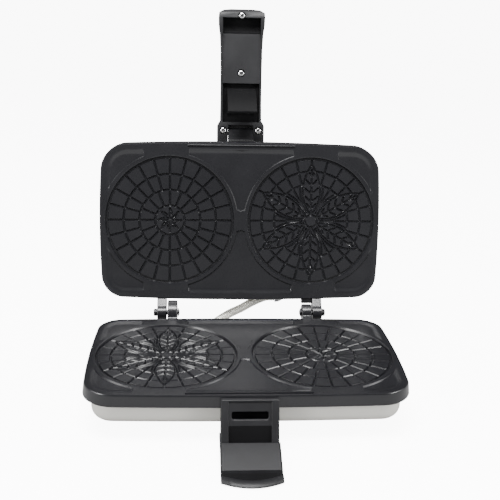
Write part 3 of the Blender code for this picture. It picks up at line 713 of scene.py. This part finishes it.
def plate_face(kinds, ribs, outer):
    """Relief of a plate's baking face: returns points, heights and triangles.

    kinds names the disc on the left and on the right, ribs lists boxes
    (x half length, y low, y high, height) and outer is the closed edge loop."""
    coords, edges = [], []

    def add_loop(points, closed=True):
        first = len(coords)
        coords.extend(points)
        n = len(points)
        for i in range(n if closed else n - 1):
            edges.append((first + i, first + (i + 1) % n))

    add_loop([(x, y) for x, y, _ in outer])
    pockets = []
    for sx in (-1, 1):
        for sy in (-1, 1):
            pockets.append((corner_pocket(sx, sy, WALL / 2), corner_pocket(sx, sy, -WALL / 2)))
    for sy in (-1, 1):
        pockets.append((middle_pocket(sy, WALL / 2), middle_pocket(sy, -WALL / 2)))
    for top, floor in pockets:
        add_loop(top)
        add_loop(floor)
    for inset in (6.6, 8.4, 10.2, 12.2):
        add_loop([(x, y) for x, y, _ in outline(inset, 0.0)])
    for half, y0, y1, _ in ribs:
        add_loop([(-half, y0), (half, y0), (half, y1), (-half, y1)])
        add_loop([(-half + 0.5, y0 + 0.5), (half - 0.5, y0 + 0.5), (half - 0.5, y1 - 0.5), (-half + 0.5, y1 - 0.5)])
    discs = []
    for kind, cx in zip(kinds, (-DISC_X, DISC_X)):
        c = (cx, 0.0)
        lines, rings = grid_disc(c) if kind == "grid" else flower_disc(c)
        for r, _ in DISC_PROFILE:
            add_loop([polar(c, r, 2 * math.pi * k / 144) for k in range(144)])
        for w, _ in GROOVE:
            for line in lines:
                add_loop(band(line, w))
            for r in rings:
                count = 96 if r > 20 else 48
                for edge in (r - w, r + w):
                    add_loop([polar(c, edge, 2 * math.pi * (k + 0.5) / count) for k in range(count)])
        segments = []
        for line in lines:
            segments += list(zip(line, line[1:]))
        discs.append((c, segments, rings))
    verts, _, faces, orig_verts, _, _ = delaunay_2d_cdt(
        [Vector(p) for p in coords], edges, [], 1, 1e-4, True
    )
    pts = np.array([(v.x, v.y) for v in verts])
    height = np.zeros(len(pts))
    for top, floor in pockets:
        near = inside_polygon(pts, top)
        if not near.any():
            continue
        sub = pts[near]
        loop = np.array(top)
        d = to_segments(sub, loop, np.roll(loop, -1, axis=0))
        height[near] = -POCKET_DEEP * np.clip(d / (WALL * 0.92), 0, 1)
        rim_loop = np.array([(x, y) for x, y, _ in outer])
        away = to_segments(sub, rim_loop, np.roll(rim_loop, -1, axis=0))
        fade = np.clip((away - 4.7) / 5.0, 0, 1)
        height[near] *= fade * fade * (3 - 2 * fade)
    for half, y0, y1, tall in ribs:
        d = np.minimum.reduce([pts[:, 0] + half, half - pts[:, 0], pts[:, 1] - y0, y1 - pts[:, 1]])
        inside = d > 1e-4
        height[inside] = tall * np.clip(d[inside] / 0.5, 0, 1)
    for c, segments, rings in discs:
        r = np.hypot(pts[:, 0] - c[0], pts[:, 1] - c[1])
        near = r < DISC_PROFILE[-1][0] + 1e-4
        radii = [0.0] + [p[0] for p in DISC_PROFILE]
        levels = [CELL_TOP] + [p[1] for p in DISC_PROFILE]
        height[near] = np.interp(r[near], radii, levels)
        core = r < DISC_PROFILE[0][0] + 0.3
        sub = pts[core]
        a = np.array([s[0] for s in segments])
        b = np.array([s[1] for s in segments])
        d = to_segments(sub, a, b)
        for ring in rings:
            d = np.minimum(d, np.abs(r[core] - ring))
        widths = [0.0] + [g[0] for g in reversed(GROOVE)]
        depths = [GROOVE[-1][1]] + [g[1] for g in reversed(GROOVE)]
        groove = CELL_TOP + GROOVE_DEEP * np.interp(d, widths, depths)
        height[core] = np.minimum(height[core], groove)
    return pts, height, faces, orig_verts


def plate(name, body, top, way, kinds, ribs, extra):
    """A whole cast plate: patterned face, skirt and underside."""

    def level(depth):
        return top + way * depth

    rim = outline(2.2, 0.0)
    pts, height, faces, orig = plate_face(kinds, ribs, rim)
    bm = bmesh.new()
    verts = [bm.verts.new((x, y, level(-h))) for (x, y), h in zip(pts, height)]
    for f in faces:
        try:
            bm.faces.new([verts[i] for i in f])
        except ValueError:
            pass
    # the edge loop of the face, found again by its input order
    back = {}
    for i, sources in enumerate(orig):
        for s in sources:
            back.setdefault(s, i)
    ring = [verts[back[k]] for k in range(len(rim))]
    loops = [
        outline(1.75, level(0.12)),
        outline(1.4, level(0.6)),
        outline(1.0, level(1.7)),
        outline(0.5, level(6.0)),
        outline(0.0, level(10.2)),
        outline(0.15, level(10.75)),
        outline(0.6, level(11.0)),
        outline(3.2, level(11.0)),
        outline(5.0, level(5.5)),
    ]
    previous = ring
    for loop in loops:
        row = [bm.verts.new(p) for p in loop]
        n = len(row)
        for i in range(n):
            j = (i + 1) % n
            bm.faces.new((previous[i], previous[j], row[j], row[i]))
        previous = row
    bm.faces.new(previous)
    bmesh.ops.recalc_face_normals(bm, faces=bm.faces)
    return even_shading(place(name, body, bm, NONSTICK, 32), 32)


base_plate = plate(
    "lower_plate_cast", "base", 0.0, -1, ("flower", "grid"), [(53.0, -74.9, -71.9, -1.5)], None
)
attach(base_plate, "base")
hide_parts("base_plate")
lid_plate = plate(
    "upper_plate_cast", "lid", 1.0, 1, ("grid", "flower"), [(53.0, -74.6, -73.0, 1.2)], None
)
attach(lid_plate, "lid")
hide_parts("lid_plate")


# ------------------------------------------------------------------ hinge lugs and knuckles
LUG_X, KNUCKLE_X = (62.3, 71.8), (73.0, 82.4)


def lug_profile(r, n=40):
    points = [(76.8, -10.6), (HINGE_Y, HINGE_Z - r)]
    for k in range(1, n + 1):
        t = -math.pi / 2 + math.radians(270) * k / n
        points.append((HINGE_Y + r * math.cos(t), HINGE_Z + r * math.sin(t)))
    points.append((76.8, -1.4))
    return points


def knuckle_profile(r=7.0, n=36):
    points = [(76.8, 2.8)]
    for k in range(n + 1):
        t = math.radians(-160 + 270 * k / n)
        points.append((HINGE_Y + r * math.cos(t), HINGE_Z + r * math.sin(t)))
    points += [(82.5, 11.4), (76.8, 11.4)]
    return points


def bored(obj, body, x, r):
    bm = bmesh.new()
    turned(bm, (x, HINGE_Y, HINGE_Z), "x", [(-8, r), (8, r)], 32)
    return cut(obj, place("tool", body, bm))


for side, sx, r in (("left", -1, 12.1), ("right", 1, 8.4)):
    bm = bmesh.new()
    prism_x(bm, lug_profile(r), *sorted((sx * LUG_X[0], sx * LUG_X[1])))
    lug = bored(place("base_lug_" + side, "base", bm, NONSTICK), "base", sx * 67, 2.8)
    soften(lug, 0.9, 3)
    lug.data.materials.clear()
    lug.data.materials.append(NONSTICK)
    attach(lug, "base")
    bm = bmesh.new()
    prism_x(bm, knuckle_profile(), *sorted((sx * KNUCKLE_X[0], sx * KNUCKLE_X[1])))
    knuckle = place("lid_knuckle_" + side, "lid", bm, NONSTICK)
    if sx > 0:
        bm = bmesh.new()
        prism_x(bm, [(76.8, 2.8), (81.6, 2.8), (83.6, 4.6), (83.6, 11.4), (76.8, 11.4)], 62.6, 76.0)
        cut(knuckle, place("tool", "lid", bm), "UNION")
    knuckle = bored(knuckle, "lid", sx * 77.5, 2.8)
    soften(knuckle, 0.8, 3)
    knuckle.data.materials.clear()
    knuckle.data.materials.append(NONSTICK)
    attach(knuckle, "lid")

# ------------------------------------------------------------------ shells
SHELL_IN, BASE_DEEP, LID_HIGH = 7.0, 31.0, 34.2


def rounded(inset0, z0, inset1, z1, n=8):
    """Quarter turn from a wall to a floor, as outline loops."""
    loops = []
    for k in range(n + 1):
        t = math.pi / 2 * k / n
        loops.append(outline(inset1 + (inset0 - inset1) * math.cos(t), z0 + (z1 - z0) * math.sin(t)))
    return loops


s = SHELL_IN
bm = bmesh.new()
loft(
    bm,
    [outline(s, -9.0)]
    + rounded(s, -22.5, s + 7.5, -BASE_DEEP)
    + [outline(s + 23, -BASE_DEEP), outline(s + 23, -BASE_DEEP + 1)]
    + rounded(s + 1, -22.5, s + 7.5, -BASE_DEEP + 1)[::-1]
    + [outline(s + 1, -9.0)],
    ring=True,
)
shell = place("lower_shell_skin", "base", bm, SHELL, 40)
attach(shell, "base")
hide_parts("base_shell")

bm = bmesh.new()
outer = [outline(s, 11.0)] + rounded(s, 23.6, s + 9.0, 33.2) + [outline(s + 33, 34.1)]
inner = [outline(s + 33, 33.1)] + rounded(s + 1, 23.6, s + 9.0, 32.2)[::-1] + [outline(s + 1, 11.0)]
loft(bm, inner + outer)
lid_shell = place("upper_shell_skin", "lid", bm, SHELL, 40)
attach(lid_shell, "lid")
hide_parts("lid_shell")

# ------------------------------------------------------------------ conduit
def catmull(points, per=6):
    points = [Vector(p) for p in points]
    rows = [points[0] * 2 - points[1]] + points + [points[-1] * 2 - points[-2]]
    out = []
    for i in range(1, len(rows) - 2):
        p0, p1, p2, p3 = rows[i - 1 : i + 3]
        for k in range(per):
            u = k / per
            out.append(
                0.5
                * (
                    2 * p1
                    + (p2 - p0) * u
                    + (2 * p0 - 5 * p1 + 4 * p2 - p3) * u * u
                    + (3 * p1 - p0 - 3 * p2 + p3) * u**3
                )
            )
    out.append(points[-1])
    return out


def even(points, step):
    """Points at equal distances along a line."""
    out, left = [points[0]], step
    for a, b in zip(points, points[1:]):
        d = (b - a).length
        at = 0.0
        while d - at >= left:
            at += left
            out.append(a + (b - a) * (at / d))
            left = step
        left -= d - at
    return out


turn_open = Matrix.Rotation(-OPEN, 4, "X")
pivot = Vector((0, HINGE_Y, HINGE_Z))
conduit_end = turn_open @ (Vector((36.15, 79.6, 22)) - pivot) + pivot
ROUTE = [
    (-30.0, 80.6, -19.6),
    (-29.9, 85.0, -19.5),
    (-29.2, 90.0, -18.6),
    (-26.3, 95.6, -16.4),
    (-23.6, 101.4, -14.4),
    (-16.6, 107.2, -11.8),
    (-8.2, 111.2, -8.2),
    (2.4, 113.8, -4.0),
    (14.0, 115.4, 2.2),
    (27.0, 115.85, 7.75),
    conduit_end,
]
PITCH = 2.1
path = even(catmull(ROUTE, 12), PITCH / 6)
bm = bmesh.new()
loops = []
side_v = None
for k, p in enumerate(path):
    tangent = (path[min(k + 1, len(path) - 1)] - path[max(k - 1, 0)]).normalized()
    if side_v is None:
        side_v = tangent.orthogonal().normalized()
    side_v = (side_v - tangent * side_v.dot(tangent)).normalized()
    other = tangent.cross(side_v)
    r = 4.0 + 0.42 * (0.5 + 0.5 * math.cos(2 * math.pi * k / 6)) ** 0.7
    loops.append(
        [tuple(p + r * (math.cos(2 * math.pi * i / 28) * side_v + math.sin(2 * math.pi * i / 28) * other)) for i in range(28)]
    )
loft(bm, loops)
conduit = place("ribbed_conduit", "base", bm, CONDUIT, 60)
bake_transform(conduit)
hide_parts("conduit")

# ------------------------------------------------------------------ pieces copied with rounded edges
def rounded_copy(node_name, body, mat, width, segments=2, angle=30.0, sharp=38.0):
    node = frame["nodes"][node_name]
    bm = bmesh.new()
    bm.from_mesh(node.data)
    bmesh.ops.transform(bm, matrix=node.matrix_world, verts=bm.verts)
    mesh = bpy.data.meshes.new(node_name + "_softened")
    bm.to_mesh(mesh)
    bm.free()
    mesh.materials.append(mat)
    obj = bpy.data.objects.new(node_name + "_softened", mesh)
    bpy.context.scene.collection.objects.link(obj)
    soften(obj, width, segments, angle, sharp)
    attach(obj, body)
    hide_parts(node_name)
    return obj


for node_name, body, mat, slot, width in (
    ("bottom_cover", "base", PLASTIC, "black_plastic", 0.6),
    ("rear_leg_left", "base", PLASTIC, "black_plastic", 1.0),
    ("rear_leg_right", "base", PLASTIC, "black_plastic", 1.0),
    ("front_foot_left", "base", RUBBER, "rubber", 0.6),
    ("front_foot_right", "base", RUBBER, "rubber", 0.6),
    ("rear_pad_left", "base", RUBBER, "rubber", 0.6),
    ("rear_pad_right", "base", RUBBER, "rubber", 0.6),
    ("cord_inlet", "base", PLASTIC, "black_plastic", 0.4),
    ("base_ferrule", "base", STEEL, "steel", 0.3),
    ("lid_elbow", "lid", STEEL, "steel", 0.5),
):
    rounded_copy(node_name, body, mat, width)


def finish_piece(obj, body, mat, slot, *nodes):
    obj.data.materials.clear()
    obj.data.materials.append(mat)
    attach(obj, body)
    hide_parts(*nodes)
    return obj


# ------------------------------------------------------------------ keeper and lower grip
KEEPER_HALF = 23.6
FACE_TOP, FACE_LOW = (-83.2, -0.6), (-96.5, -31.0)
SLOT_Z, SLOT_H, SLOT_W = -12.8, 5.8, 15.0


def face_y(z):
    f = (z - FACE_TOP[1]) / (FACE_LOW[1] - FACE_TOP[1])
    return FACE_TOP[0] + (FACE_LOW[0] - FACE_TOP[0]) * f


bm = bmesh.new()
prism_x(
    bm,
    [
        (-78.6, -1.6), (-79.6, -0.6), FACE_TOP, (face_y(-16), -16), FACE_LOW, (-96.5, -34.5),
        (-71.3, -34.5), (-71.3, -11.6), (-78.6, -11.6),
    ],
    -KEEPER_HALF,
    KEEPER_HALF,
)
keeper = place("keeper_moulding", "base", bm)
bm = bmesh.new()
prism_x(bm, [(-75.6, -7.5), (face_y(-7.5) + 3.4, -7.5), (face_y(-31.5) + 3.4, -31.5), (-75.6, -31.5)], -20.0, 20.0)
cut(keeper, place("tool", "base", bm))
bm = bmesh.new()
prism_x(
    bm,
    [
        (face_y(-2.0) + 1.3, -2.0), (face_y(-20) + 1.3, -20.0), (face_y(-28.0) + 2.6, -28.0),
        (face_y(-35.5) + 3.0, -35.5), (face_y(-35.5) - 8, -35.5), (face_y(-2.0) - 8, -2.0),
    ],
    -17.6,
    17.6,
)
cut(keeper, place("tool", "base", bm))
bm = bmesh.new()
slot_loop = []
for k in range(4):
    for i in range(7):
        t = math.pi / 2 * (k + i / 6)
        slot_loop.append(
            (
                (1, -1, -1, 1)[k] * (SLOT_W - 1.6) + 1.6 * math.cos(t),
                SLOT_Z + (1, 1, -1, -1)[k] * (SLOT_H / 2 - 1.6) + 1.6 * math.sin(t),
            )
        )
loft(bm, [[(x, y, z) for x, z in slot_loop] for y in (-98, -80.5)])
for sx in (-1, 1):
    turned(bm, (sx * 11, -83, 0), "z", [(-40, 2.1), (-30, 2.1)], 24)
cut(keeper, place("tool", "base", bm))
soften(keeper, 0.55, 3)
finish_piece(keeper, "base", PLASTIC, "black_plastic", "latch_keeper")


def painted_shade_zone(obj, body, mat, inside):
    """Second material, the painted-shade black in every use here, on the faces whose middle, in closed millimetres, is
    inside the zone.
    """
    obj.data.materials.append(mat)
    back = HOME[body].inverted()
    turn_back = back.to_3x3().normalized()
    for face in obj.data.polygons:
        p, n = back @ face.center, (turn_back @ face.normal).normalized()
        if inside(p, n):
            face.material_index = 1


# Painted shade on the lower, front-facing part of the keeper's recessed panel.
painted_shade_zone(keeper, "base", PAINTED_SHADE_BLACK, lambda p, n: abs(p.x) < 17.4 and p.z < -20.5 and p.y < face_y(p.z) + 4 and n.y < -0.2)

GRIP_SIDE = 24.4
grip_section = [
    (-76.0, -34.8), (-96.9, -34.8), (-96.9, -31.6), (-98.2, -31.4), (-110.0, -35.6), (-122.0, -40.4),
    (-122.6, -42.6), (-131.4, -43.4), (-132.6, -42.2), (-135.8, -41.4), (-139.0, -42.2), (-140.5, -43.8),
    (-139.4, -45.3), (-134.0, -45.8), (-121.0, -45.0), (-97.0, -38.8), (-76.0, -38.8),
]
bm = bmesh.new()
stations = []
for k in range(41):
    x = GRIP_SIDE * math.sin(math.pi / 2 * (-1 + k / 20))
    pull = 7.0 * (x / GRIP_SIDE) ** 2
    edge = max(0.0, (abs(x) - GRIP_SIDE + 2.0) / 2.0)
    row = []
    for y, z in grip_section:
        bend = min(1.0, max(0.0, (-122.6 - y) / 9.0))
        row.append((x, y + pull * bend, z - 0.9 * edge**2 if -122.3 < y < -97 else z))
    stations.append(row)
loft(bm, stations)
grip = place("grip_moulding", "base", bm)
bm = bmesh.new()
for sx in (-1, 1):
    turned(bm, (sx * 11, -83, 0), "z", [(-42, 2.1), (-33, 2.1)], 24)
cut(grip, place("tool", "base", bm))
soften(grip, 0.45, 2, 34.0)
finish_piece(grip, "base", PLASTIC, "black_plastic", "lower_grip")
# Painted shade on the upward-facing floor of the recess in the grip's paddle.
painted_shade_zone(grip, "base", PAINTED_SHADE_BLACK, lambda p, n: p.y < -115.0 and -44.2 < p.z < -42.45 and n.z > 0.5 and p.y > -132.2)

# ------------------------------------------------------------------ latch mount and arm
ARM_Y, ARM_Z = -86.0, 30.6


def arm_point(x, along, off):
    return (x, ARM_Y - along, ARM_Z - off)


def arm_prism(bm, section, x0, x1):
    loft(bm, [[arm_point(x, a, b) for a, b in section] for x in (x0, x1)])


def arm_box(bm, half, s0, s1, n0, n1):
    arm_prism(bm, [(s0, n0), (s1, n0), (s1, n1), (s0, n1)], -half, half)


def arm_turned(bm, x, along, profile, n=32):
    turned(bm, (x, ARM_Y - along, ARM_Z), "z", [(-off, r) for off, r in profile], n)


def arm_section(half, along, back, front, soft, steps=5):
    pts = []
    for k, (cx, cn) in enumerate(
        ((half - soft, front - soft), (-half + soft, front - soft), (-half + soft, back + soft), (half - soft, back + soft))
    ):
        for i in range(steps):
            t = math.pi / 2 * (k + i / (steps - 1))
            pts.append((cx + soft * math.cos(t), cn + soft * math.sin(t)))
    return [arm_point(x, along, n) for x, n in pts]


def arc_points(cy, cz, r, first, last, steps):
    rows = []
    for k in range(steps + 1):
        t = math.radians(first + (last - first) * k / steps)
        rows.append((cy + r * math.cos(t), cz + r * math.sin(t)))
    return rows


bm = bmesh.new()
mount = [(-71.3, 13.4), (-79.6, 13.4)] + arc_points(ARM_Y, ARM_Z, 5.6, 220, 75, 36) + [(-76.0, 34.0), (-71.3, 30.0)]
prism_x(bm, mount, -12.4, 12.4)
latch_mount = place("mount_moulding", "lid", bm)
bm = bmesh.new()
turned(bm, (0, ARM_Y, ARM_Z), "x", [(-20, 1.9), (20, 1.9)], 24)
for sx in (-1, 1):
    turned(bm, (sx * 6.5, -72, 19), "y", [(-6, 1.9), (4, 1.9)], 24)
cut(latch_mount, place("tool", "lid", bm))
soften(latch_mount, 0.5, 2)
finish_piece(latch_mount, "lid", PLASTIC, "black_plastic", "latch_mount")

TRAY = (
    (22.6, -9.4, -3.0, 4.4), (23.6, -8.0, -4.2, 6.2), (23.6, 0.0, -5.0, 7.0), (23.6, 8.0, -4.2, 7.0),
    (22.2, 10.8, -3.0, 6.7), (20.8, 13.0, -2.0, 6.4), (20.6, 30.0, -2.0, 6.0), (20.6, 60.0, -2.0, 6.0),
    (20.9, 84.0, -2.0, 6.4), (21.6, 98.0, -2.0, 7.6), (22.3, 103.0, -2.0, 8.7), (22.8, 107.0, -2.0, 9.4),
    (23.0, 114.0, -2.0, 10.0), (22.6, 118.4, -2.0, 9.4), (18.5, 121.0, -1.6, 7.6), (12.0, 122.0, -1.0, 5.8),
)
bm = bmesh.new()
loft(bm, [arm_section(h, a, b, f, 1.1) for h, a, b, f in TRAY])
tray = place("arm_moulding", "lid", bm)
cutters = []
bm = bmesh.new()
arm_box(bm, 12.9, -14, 2.0, -12, 14)
cutters.append(bm)
bm = bmesh.new()
arm_box(bm, 12.6, 5.6, 8.6, -1.0, 14)
cutters.append(bm)
bm = bmesh.new()
turned(bm, (0, ARM_Y, ARM_Z), "x", [(-12.9, 6.15), (12.9, 6.15)], 48)
cutters.append(bm)
bm = bmesh.new()
arm_box(bm, 12.9, 1.0, 6.4, -0.6, 14)
cutters.append(bm)
bm = bmesh.new()
arm_box(bm, 18.4, 11.4, 50.0, 0.2, 14)
cutters.append(bm)
bm = bmesh.new()
arm_box(bm, 19.3, 49.0, 98.0, 4.4, 14)
cutters.append(bm)
bm = bmesh.new()
arm_prism(
    bm,
    [
        (96.0, 14), (96.0, 4.4), (98.4, 4.3), (99.0, 3.4), (99.4, 1.8), (100.2, 0.8), (102.0, 0.35), (108.4, 0.3), (111.4, 0.6),
        (114.0, 1.4), (115.8, 2.6), (116.2, 3.8), (115.6, 4.8), (114.2, 5.6), (113.4, 7.0), (113.2, 14),
    ],
    -18.8,
    18.8,
)
cutters.append(bm)
bm = bmesh.new()
turned(bm, (0, ARM_Y, ARM_Z), "x", [(-24, 1.9), (24, 1.9)], 24)
for sx in (-1, 1):
    arm_turned(bm, sx * 17.6, 3.2, [(3.0, 1.7), (5.4, 1.7), (5.4, 3.8), (12.0, 3.8)])
    arm_turned(bm, sx * 8.0, 27.0, [(-4, 1.6), (5, 1.6)])
arm_turned(bm, 0, 60.0, [(-4, 1.9), (2.4, 1.9), (2.4, 3.8), (6, 3.8)])
arm_turned(bm, 0, 115.5, [(5.6, 1.7), (8.4, 1.7), (8.4, 3.8), (14, 3.8)])
cutters.append(bm)
for bm in cutters:
    cut(tray, place("tool", "lid", bm))
soften(tray, 0.32, 2, 34.0)
finish_piece(tray, "arm", PLASTIC, "black_plastic", "arm_tray")
# Painted shade in the hook cavity at the tip of the arm.
painted_shade_zone(tray, "lid", PAINTED_SHADE_BLACK, lambda p, n: abs(p.x) < 18.9 and ARM_Y - 116.6 < p.y < ARM_Y - 98.6 and p.z > ARM_Z - 9.0 and p.z < ARM_Z + 1.0)
# Painted shade on the floor of the arm's pocket, under the tongue.
for face in tray.data.polygons:
    p = HOME["lid"].inverted() @ face.center
    if abs(p.x) < 18.5 and ARM_Y - 50.2 < p.y < ARM_Y - 11.2 and p.z > ARM_Z - 6.2 and p.z < ARM_Z + 0.2:
        face.material_index = 1

bm = bmesh.new()
loft(
    bm,
    [
        arm_section(h, a, b, -2.3, r)
        for h, a, b, r in (
            (18.9, 14.4, -5.8, 1.0), (19.4, 15.0, -6.6, 1.3), (19.9, 18.0, -8.2, 2.0), (19.9, 28.0, -8.8, 2.6),
            (19.9, 40.0, -9.0, 2.9), (19.9, 62.0, -9.0, 2.9), (19.9, 84.0, -9.0, 2.9), (20.6, 92.0, -8.8, 2.8),
            (21.2, 98.0, -8.4, 2.6), (22.2, 110.0, -7.4, 2.2), (21.6, 114.5, -6.8, 1.9), (20.0, 118.0, -6.0, 1.5),
            (17.6, 119.6, -5.2, 1.2), (14.0, 120.6, -4.4, 0.9),
        )
    ],
)
cover = place("arm_back_moulding", "lid", bm)
finish_piece(cover, "arm", PLASTIC, "black_plastic", "arm_cover")

TONGUE_R, TONGUE_T, TONGUE_W, TONGUE_END = 43.5, 2.8, 14.0, 62.0
bm = bmesh.new()
half_t = TONGUE_T / 2
outer_arc, inner_arc = [], []
for k in range(41):
    t = math.radians(TONGUE_END * k / 40)
    outer_arc.append(((TONGUE_R + half_t) * math.cos(t), (TONGUE_R + half_t) * math.sin(t)))
    inner_arc.append(((TONGUE_R - half_t) * math.cos(t), (TONGUE_R - half_t) * math.sin(t)))
section = [(TONGUE_R + half_t, 0.5)] + outer_arc[1:-1]
tip_t = math.radians(TONGUE_END + 1.6)
section += [
    outer_arc[-1],
    ((TONGUE_R + 0.5) * math.cos(tip_t), (TONGUE_R + 0.5) * math.sin(tip_t)),
    ((TONGUE_R - 0.5) * math.cos(tip_t), (TONGUE_R - 0.5) * math.sin(tip_t)),
]
section += [p for p in reversed(inner_arc) if p[1] > 2.9] + [(41.2, 2.7), (20.0, 2.7), (20.0, 0.5)]
arm_prism(bm, section, -TONGUE_W, TONGUE_W)
tongue = place("tongue_moulding", "lid", bm)
bm = bmesh.new()
for sx in (-1, 1):
    arm_turned(bm, sx * 8.0, 27.0, [(0, 1.6), (4, 1.6)])
cut(tongue, place("tool", "lid", bm))
soften(tongue, 0.3, 2, 34.0)
# The whole tongue takes the painted-shade black, so its upward-facing surface stays dark.
finish_piece(tongue, "arm", PAINTED_SHADE_BLACK, "black_plastic", "latch_tongue")

# ------------------------------------------------------------------ hinge pins and screws
for side, sx in (("left", -1), ("right", 1)):
    bm = bmesh.new()
    turned(
        bm,
        (0, HINGE_Y, HINGE_Z),
        "x",
        [(sx * 60.1, 2.0), (sx * 60.4, 2.4), (sx * 82.75, 2.4), (sx * 82.75, 3.4), (sx * 83.0, 3.6), (sx * 85.0, 3.6), (sx * 85.7, 3.2), (sx * 86.0, 2.4)],
        32,
    )
    finish_piece(place("pin_turned_" + side, "base", bm), "base", DARK_STEEL, "dark_steel", "hinge_pin_" + side)
    rounded_copy("hinge_clip_" + side, "base", DARK_STEEL, 0.2)


def screw(node_name, body, x, y, z, axis, out, r, shank):
    """Domed cross-head screw; shank is how far its plain part runs behind the head."""
    home = "lid" if body == "arm" else body
    bm = bmesh.new()
    profile = [
        (-shank, 0.42 * r), (0.0, 0.44 * r), (0.0, 0.97 * r), (0.05 * r, r), (0.22 * r, 0.98 * r), (0.36 * r, 0.86 * r),
        (0.46 * r, 0.62 * r), (0.50 * r, 0.30 * r), (0.51 * r, 0.08 * r),
    ]
    turned(bm, (x, y, z), axis, [(out * a, b) for a, b in profile], 36)
    head = place(node_name + "_turned", home, bm)
    for across in (0, 1):
        bm = bmesh.new()
        a, b = (0.60 * r, 0.13 * r) if across == 0 else (0.13 * r, 0.60 * r)
        near, far = sorted((out * 0.24 * r, out * r))
        if axis == "z":
            block(bm, x - a, x + a, y - b, y + b, z + near, z + far)
        else:
            block(bm, x - a, x + a, y + near, y + far, z - b, z + b)
        cut(head, place("tool", home, bm))
    head.data.shade_smooth()
    head.data.set_sharp_from_angle(angle=math.radians(42))
    finish_piece(head, body, SCREW, "steel", node_name)


for side, sx in (("left", -1), ("right", 1)):
    screw("ear_screw_" + side, "arm", sx * 17.6, ARM_Y - 3.2, ARM_Z - 5.7, "z", -1, 3.0, 2.2)
    screw("tongue_screw_" + side, "arm", sx * 8.0, ARM_Y - 27.0, ARM_Z - 3.0, "z", -1, 2.6, 5.0)
    screw("grip_screw_" + side, "base", sx * 11, -83, -39.1, "z", -1, 3.6, 8.8)
screw("floor_screw", "arm", 0, ARM_Y - 60.0, ARM_Z - 2.7, "z", -1, 3.1, 8.4)
screw("tip_screw", "arm", 0, ARM_Y - 115.5, ARM_Z - 8.7, "z", -1, 3.0, 2.6)
for k, (x, y) in enumerate([(sx * 100, sy * 42) for sx in (-1, 1) for sy in (-1, 1)]):
    screw("cover_screw_%d" % (k + 1), "base", x, y, -38.35, "z", -1, 3.6, 5.6)

# ------------------------------------------------------------------ floor, light, world
low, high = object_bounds()
floor_mat = Nodes("floor")
where = floor_mat.coords()
cloud = floor_mat.noise(where, 3.0, 3.0)
finish_material(
    floor_mat,
    floor_mat.ramp(cloud, ((0.3, (0.86, 0.86, 0.86)), (0.7, (0.88, 0.88, 0.88)))),
    floor_mat.spread(cloud, 0.55, 0.65),
)
floor_mat.shader.inputs["Emission Color"].default_value = (1.0, 1.0, 1.0, 1.0)
floor_mat.shader.inputs["Emission Strength"].default_value = 9.0
bm = bmesh.new()
rows = []
for t in range(25):
    if t < 8:
        rows.append((-4.0 + 0.75 * t, 0.0))
    else:
        a = math.pi / 2 * (t - 8) / 16
        rows.append((2.0 + 2.0 * math.sin(a), 2.0 - 2.0 * math.cos(a)))
rows.append((4.0, 6.0))
prev = None
for y, z in rows:
    pair = (bm.verts.new((-6, y, z - 0.0002)), bm.verts.new((6, y, z - 0.0002)))
    if prev:
        bm.faces.new((prev[0], prev[1], pair[1], pair[0]))
    prev = pair
mesh = bpy.data.meshes.new("floor")
bm.to_mesh(mesh)
bm.free()
floor = bpy.data.objects.new("floor", mesh)
bpy.context.scene.collection.objects.link(floor)
mesh.shade_smooth()
mesh.materials.append(floor_mat.mat)
floor.visible_diffuse = False
floor.visible_glossy = False
floor.visible_shadow = False

world = bpy.data.worlds.new("studio")
bpy.context.scene.world = world
world.use_nodes = True
tree = world.node_tree
back = tree.nodes["Background"]
coord = tree.nodes.new("ShaderNodeTexCoord")
split = tree.nodes.new("ShaderNodeSeparateXYZ")
shade = tree.nodes.new("ShaderNodeValToRGB")
tree.links.new(coord.outputs["Generated"], split.inputs[0])
half = tree.nodes.new("ShaderNodeMapRange")
half.inputs["From Min"].default_value = -1.0
half.inputs["From Max"].default_value = 1.0
tree.links.new(split.outputs["Z"], half.inputs["Value"])
tree.links.new(half.outputs["Result"], shade.inputs["Fac"])
stops = ((0.0, 0.25), (0.36, 1.30), (0.46, 1.25), (0.52, 0.10), (0.58, 0.045), (0.76, 0.05), (0.84, 0.20), (1.0, 0.60))
while len(shade.color_ramp.elements) < len(stops):
    shade.color_ramp.elements.new(0.5)
for element, (pos, level_) in zip(shade.color_ramp.elements, stops):
    element.position = pos
    element.color = (level_, level_, level_, 1.0)
tree.links.new(shade.outputs["Color"], back.inputs["Color"])
back.inputs["Strength"].default_value = 1.0


def area(name, where, target, size, power):
    data = bpy.data.lights.new(name, "AREA")
    data.shape = "RECTANGLE"
    data.size, data.size_y = size
    data.energy = power
    lamp = bpy.data.objects.new(name, data)
    bpy.context.scene.collection.objects.link(lamp)
    lamp.location = where
    lamp.rotation_euler = (Vector(target) - Vector(where)).to_track_quat("-Z", "Y").to_euler()
    return lamp


area("top", (-0.15, -0.50, 1.45), (0, 0, 0.1), (1.0, 0.45), 62.0)
area("front_left", (-1.7, -1.15, 0.75), (0, 0, 0.05), (0.7, 0.5), 27.0)
area("front_right", (1.7, -1.15, 0.75), (0, 0, 0.05), (0.7, 0.5), 27.0)
area("over", (0.0, 0.10, 1.5), (0, 0, 0.1), (1.2, 0.30), 4.0)
area("left", (-1.5, -0.3, 0.7), (0, 0, 0.1), (0.5, 0.9), 9.0)
area("right", (1.5, -0.3, 0.7), (0, 0, 0.1), (0.5, 0.9), 9.0)
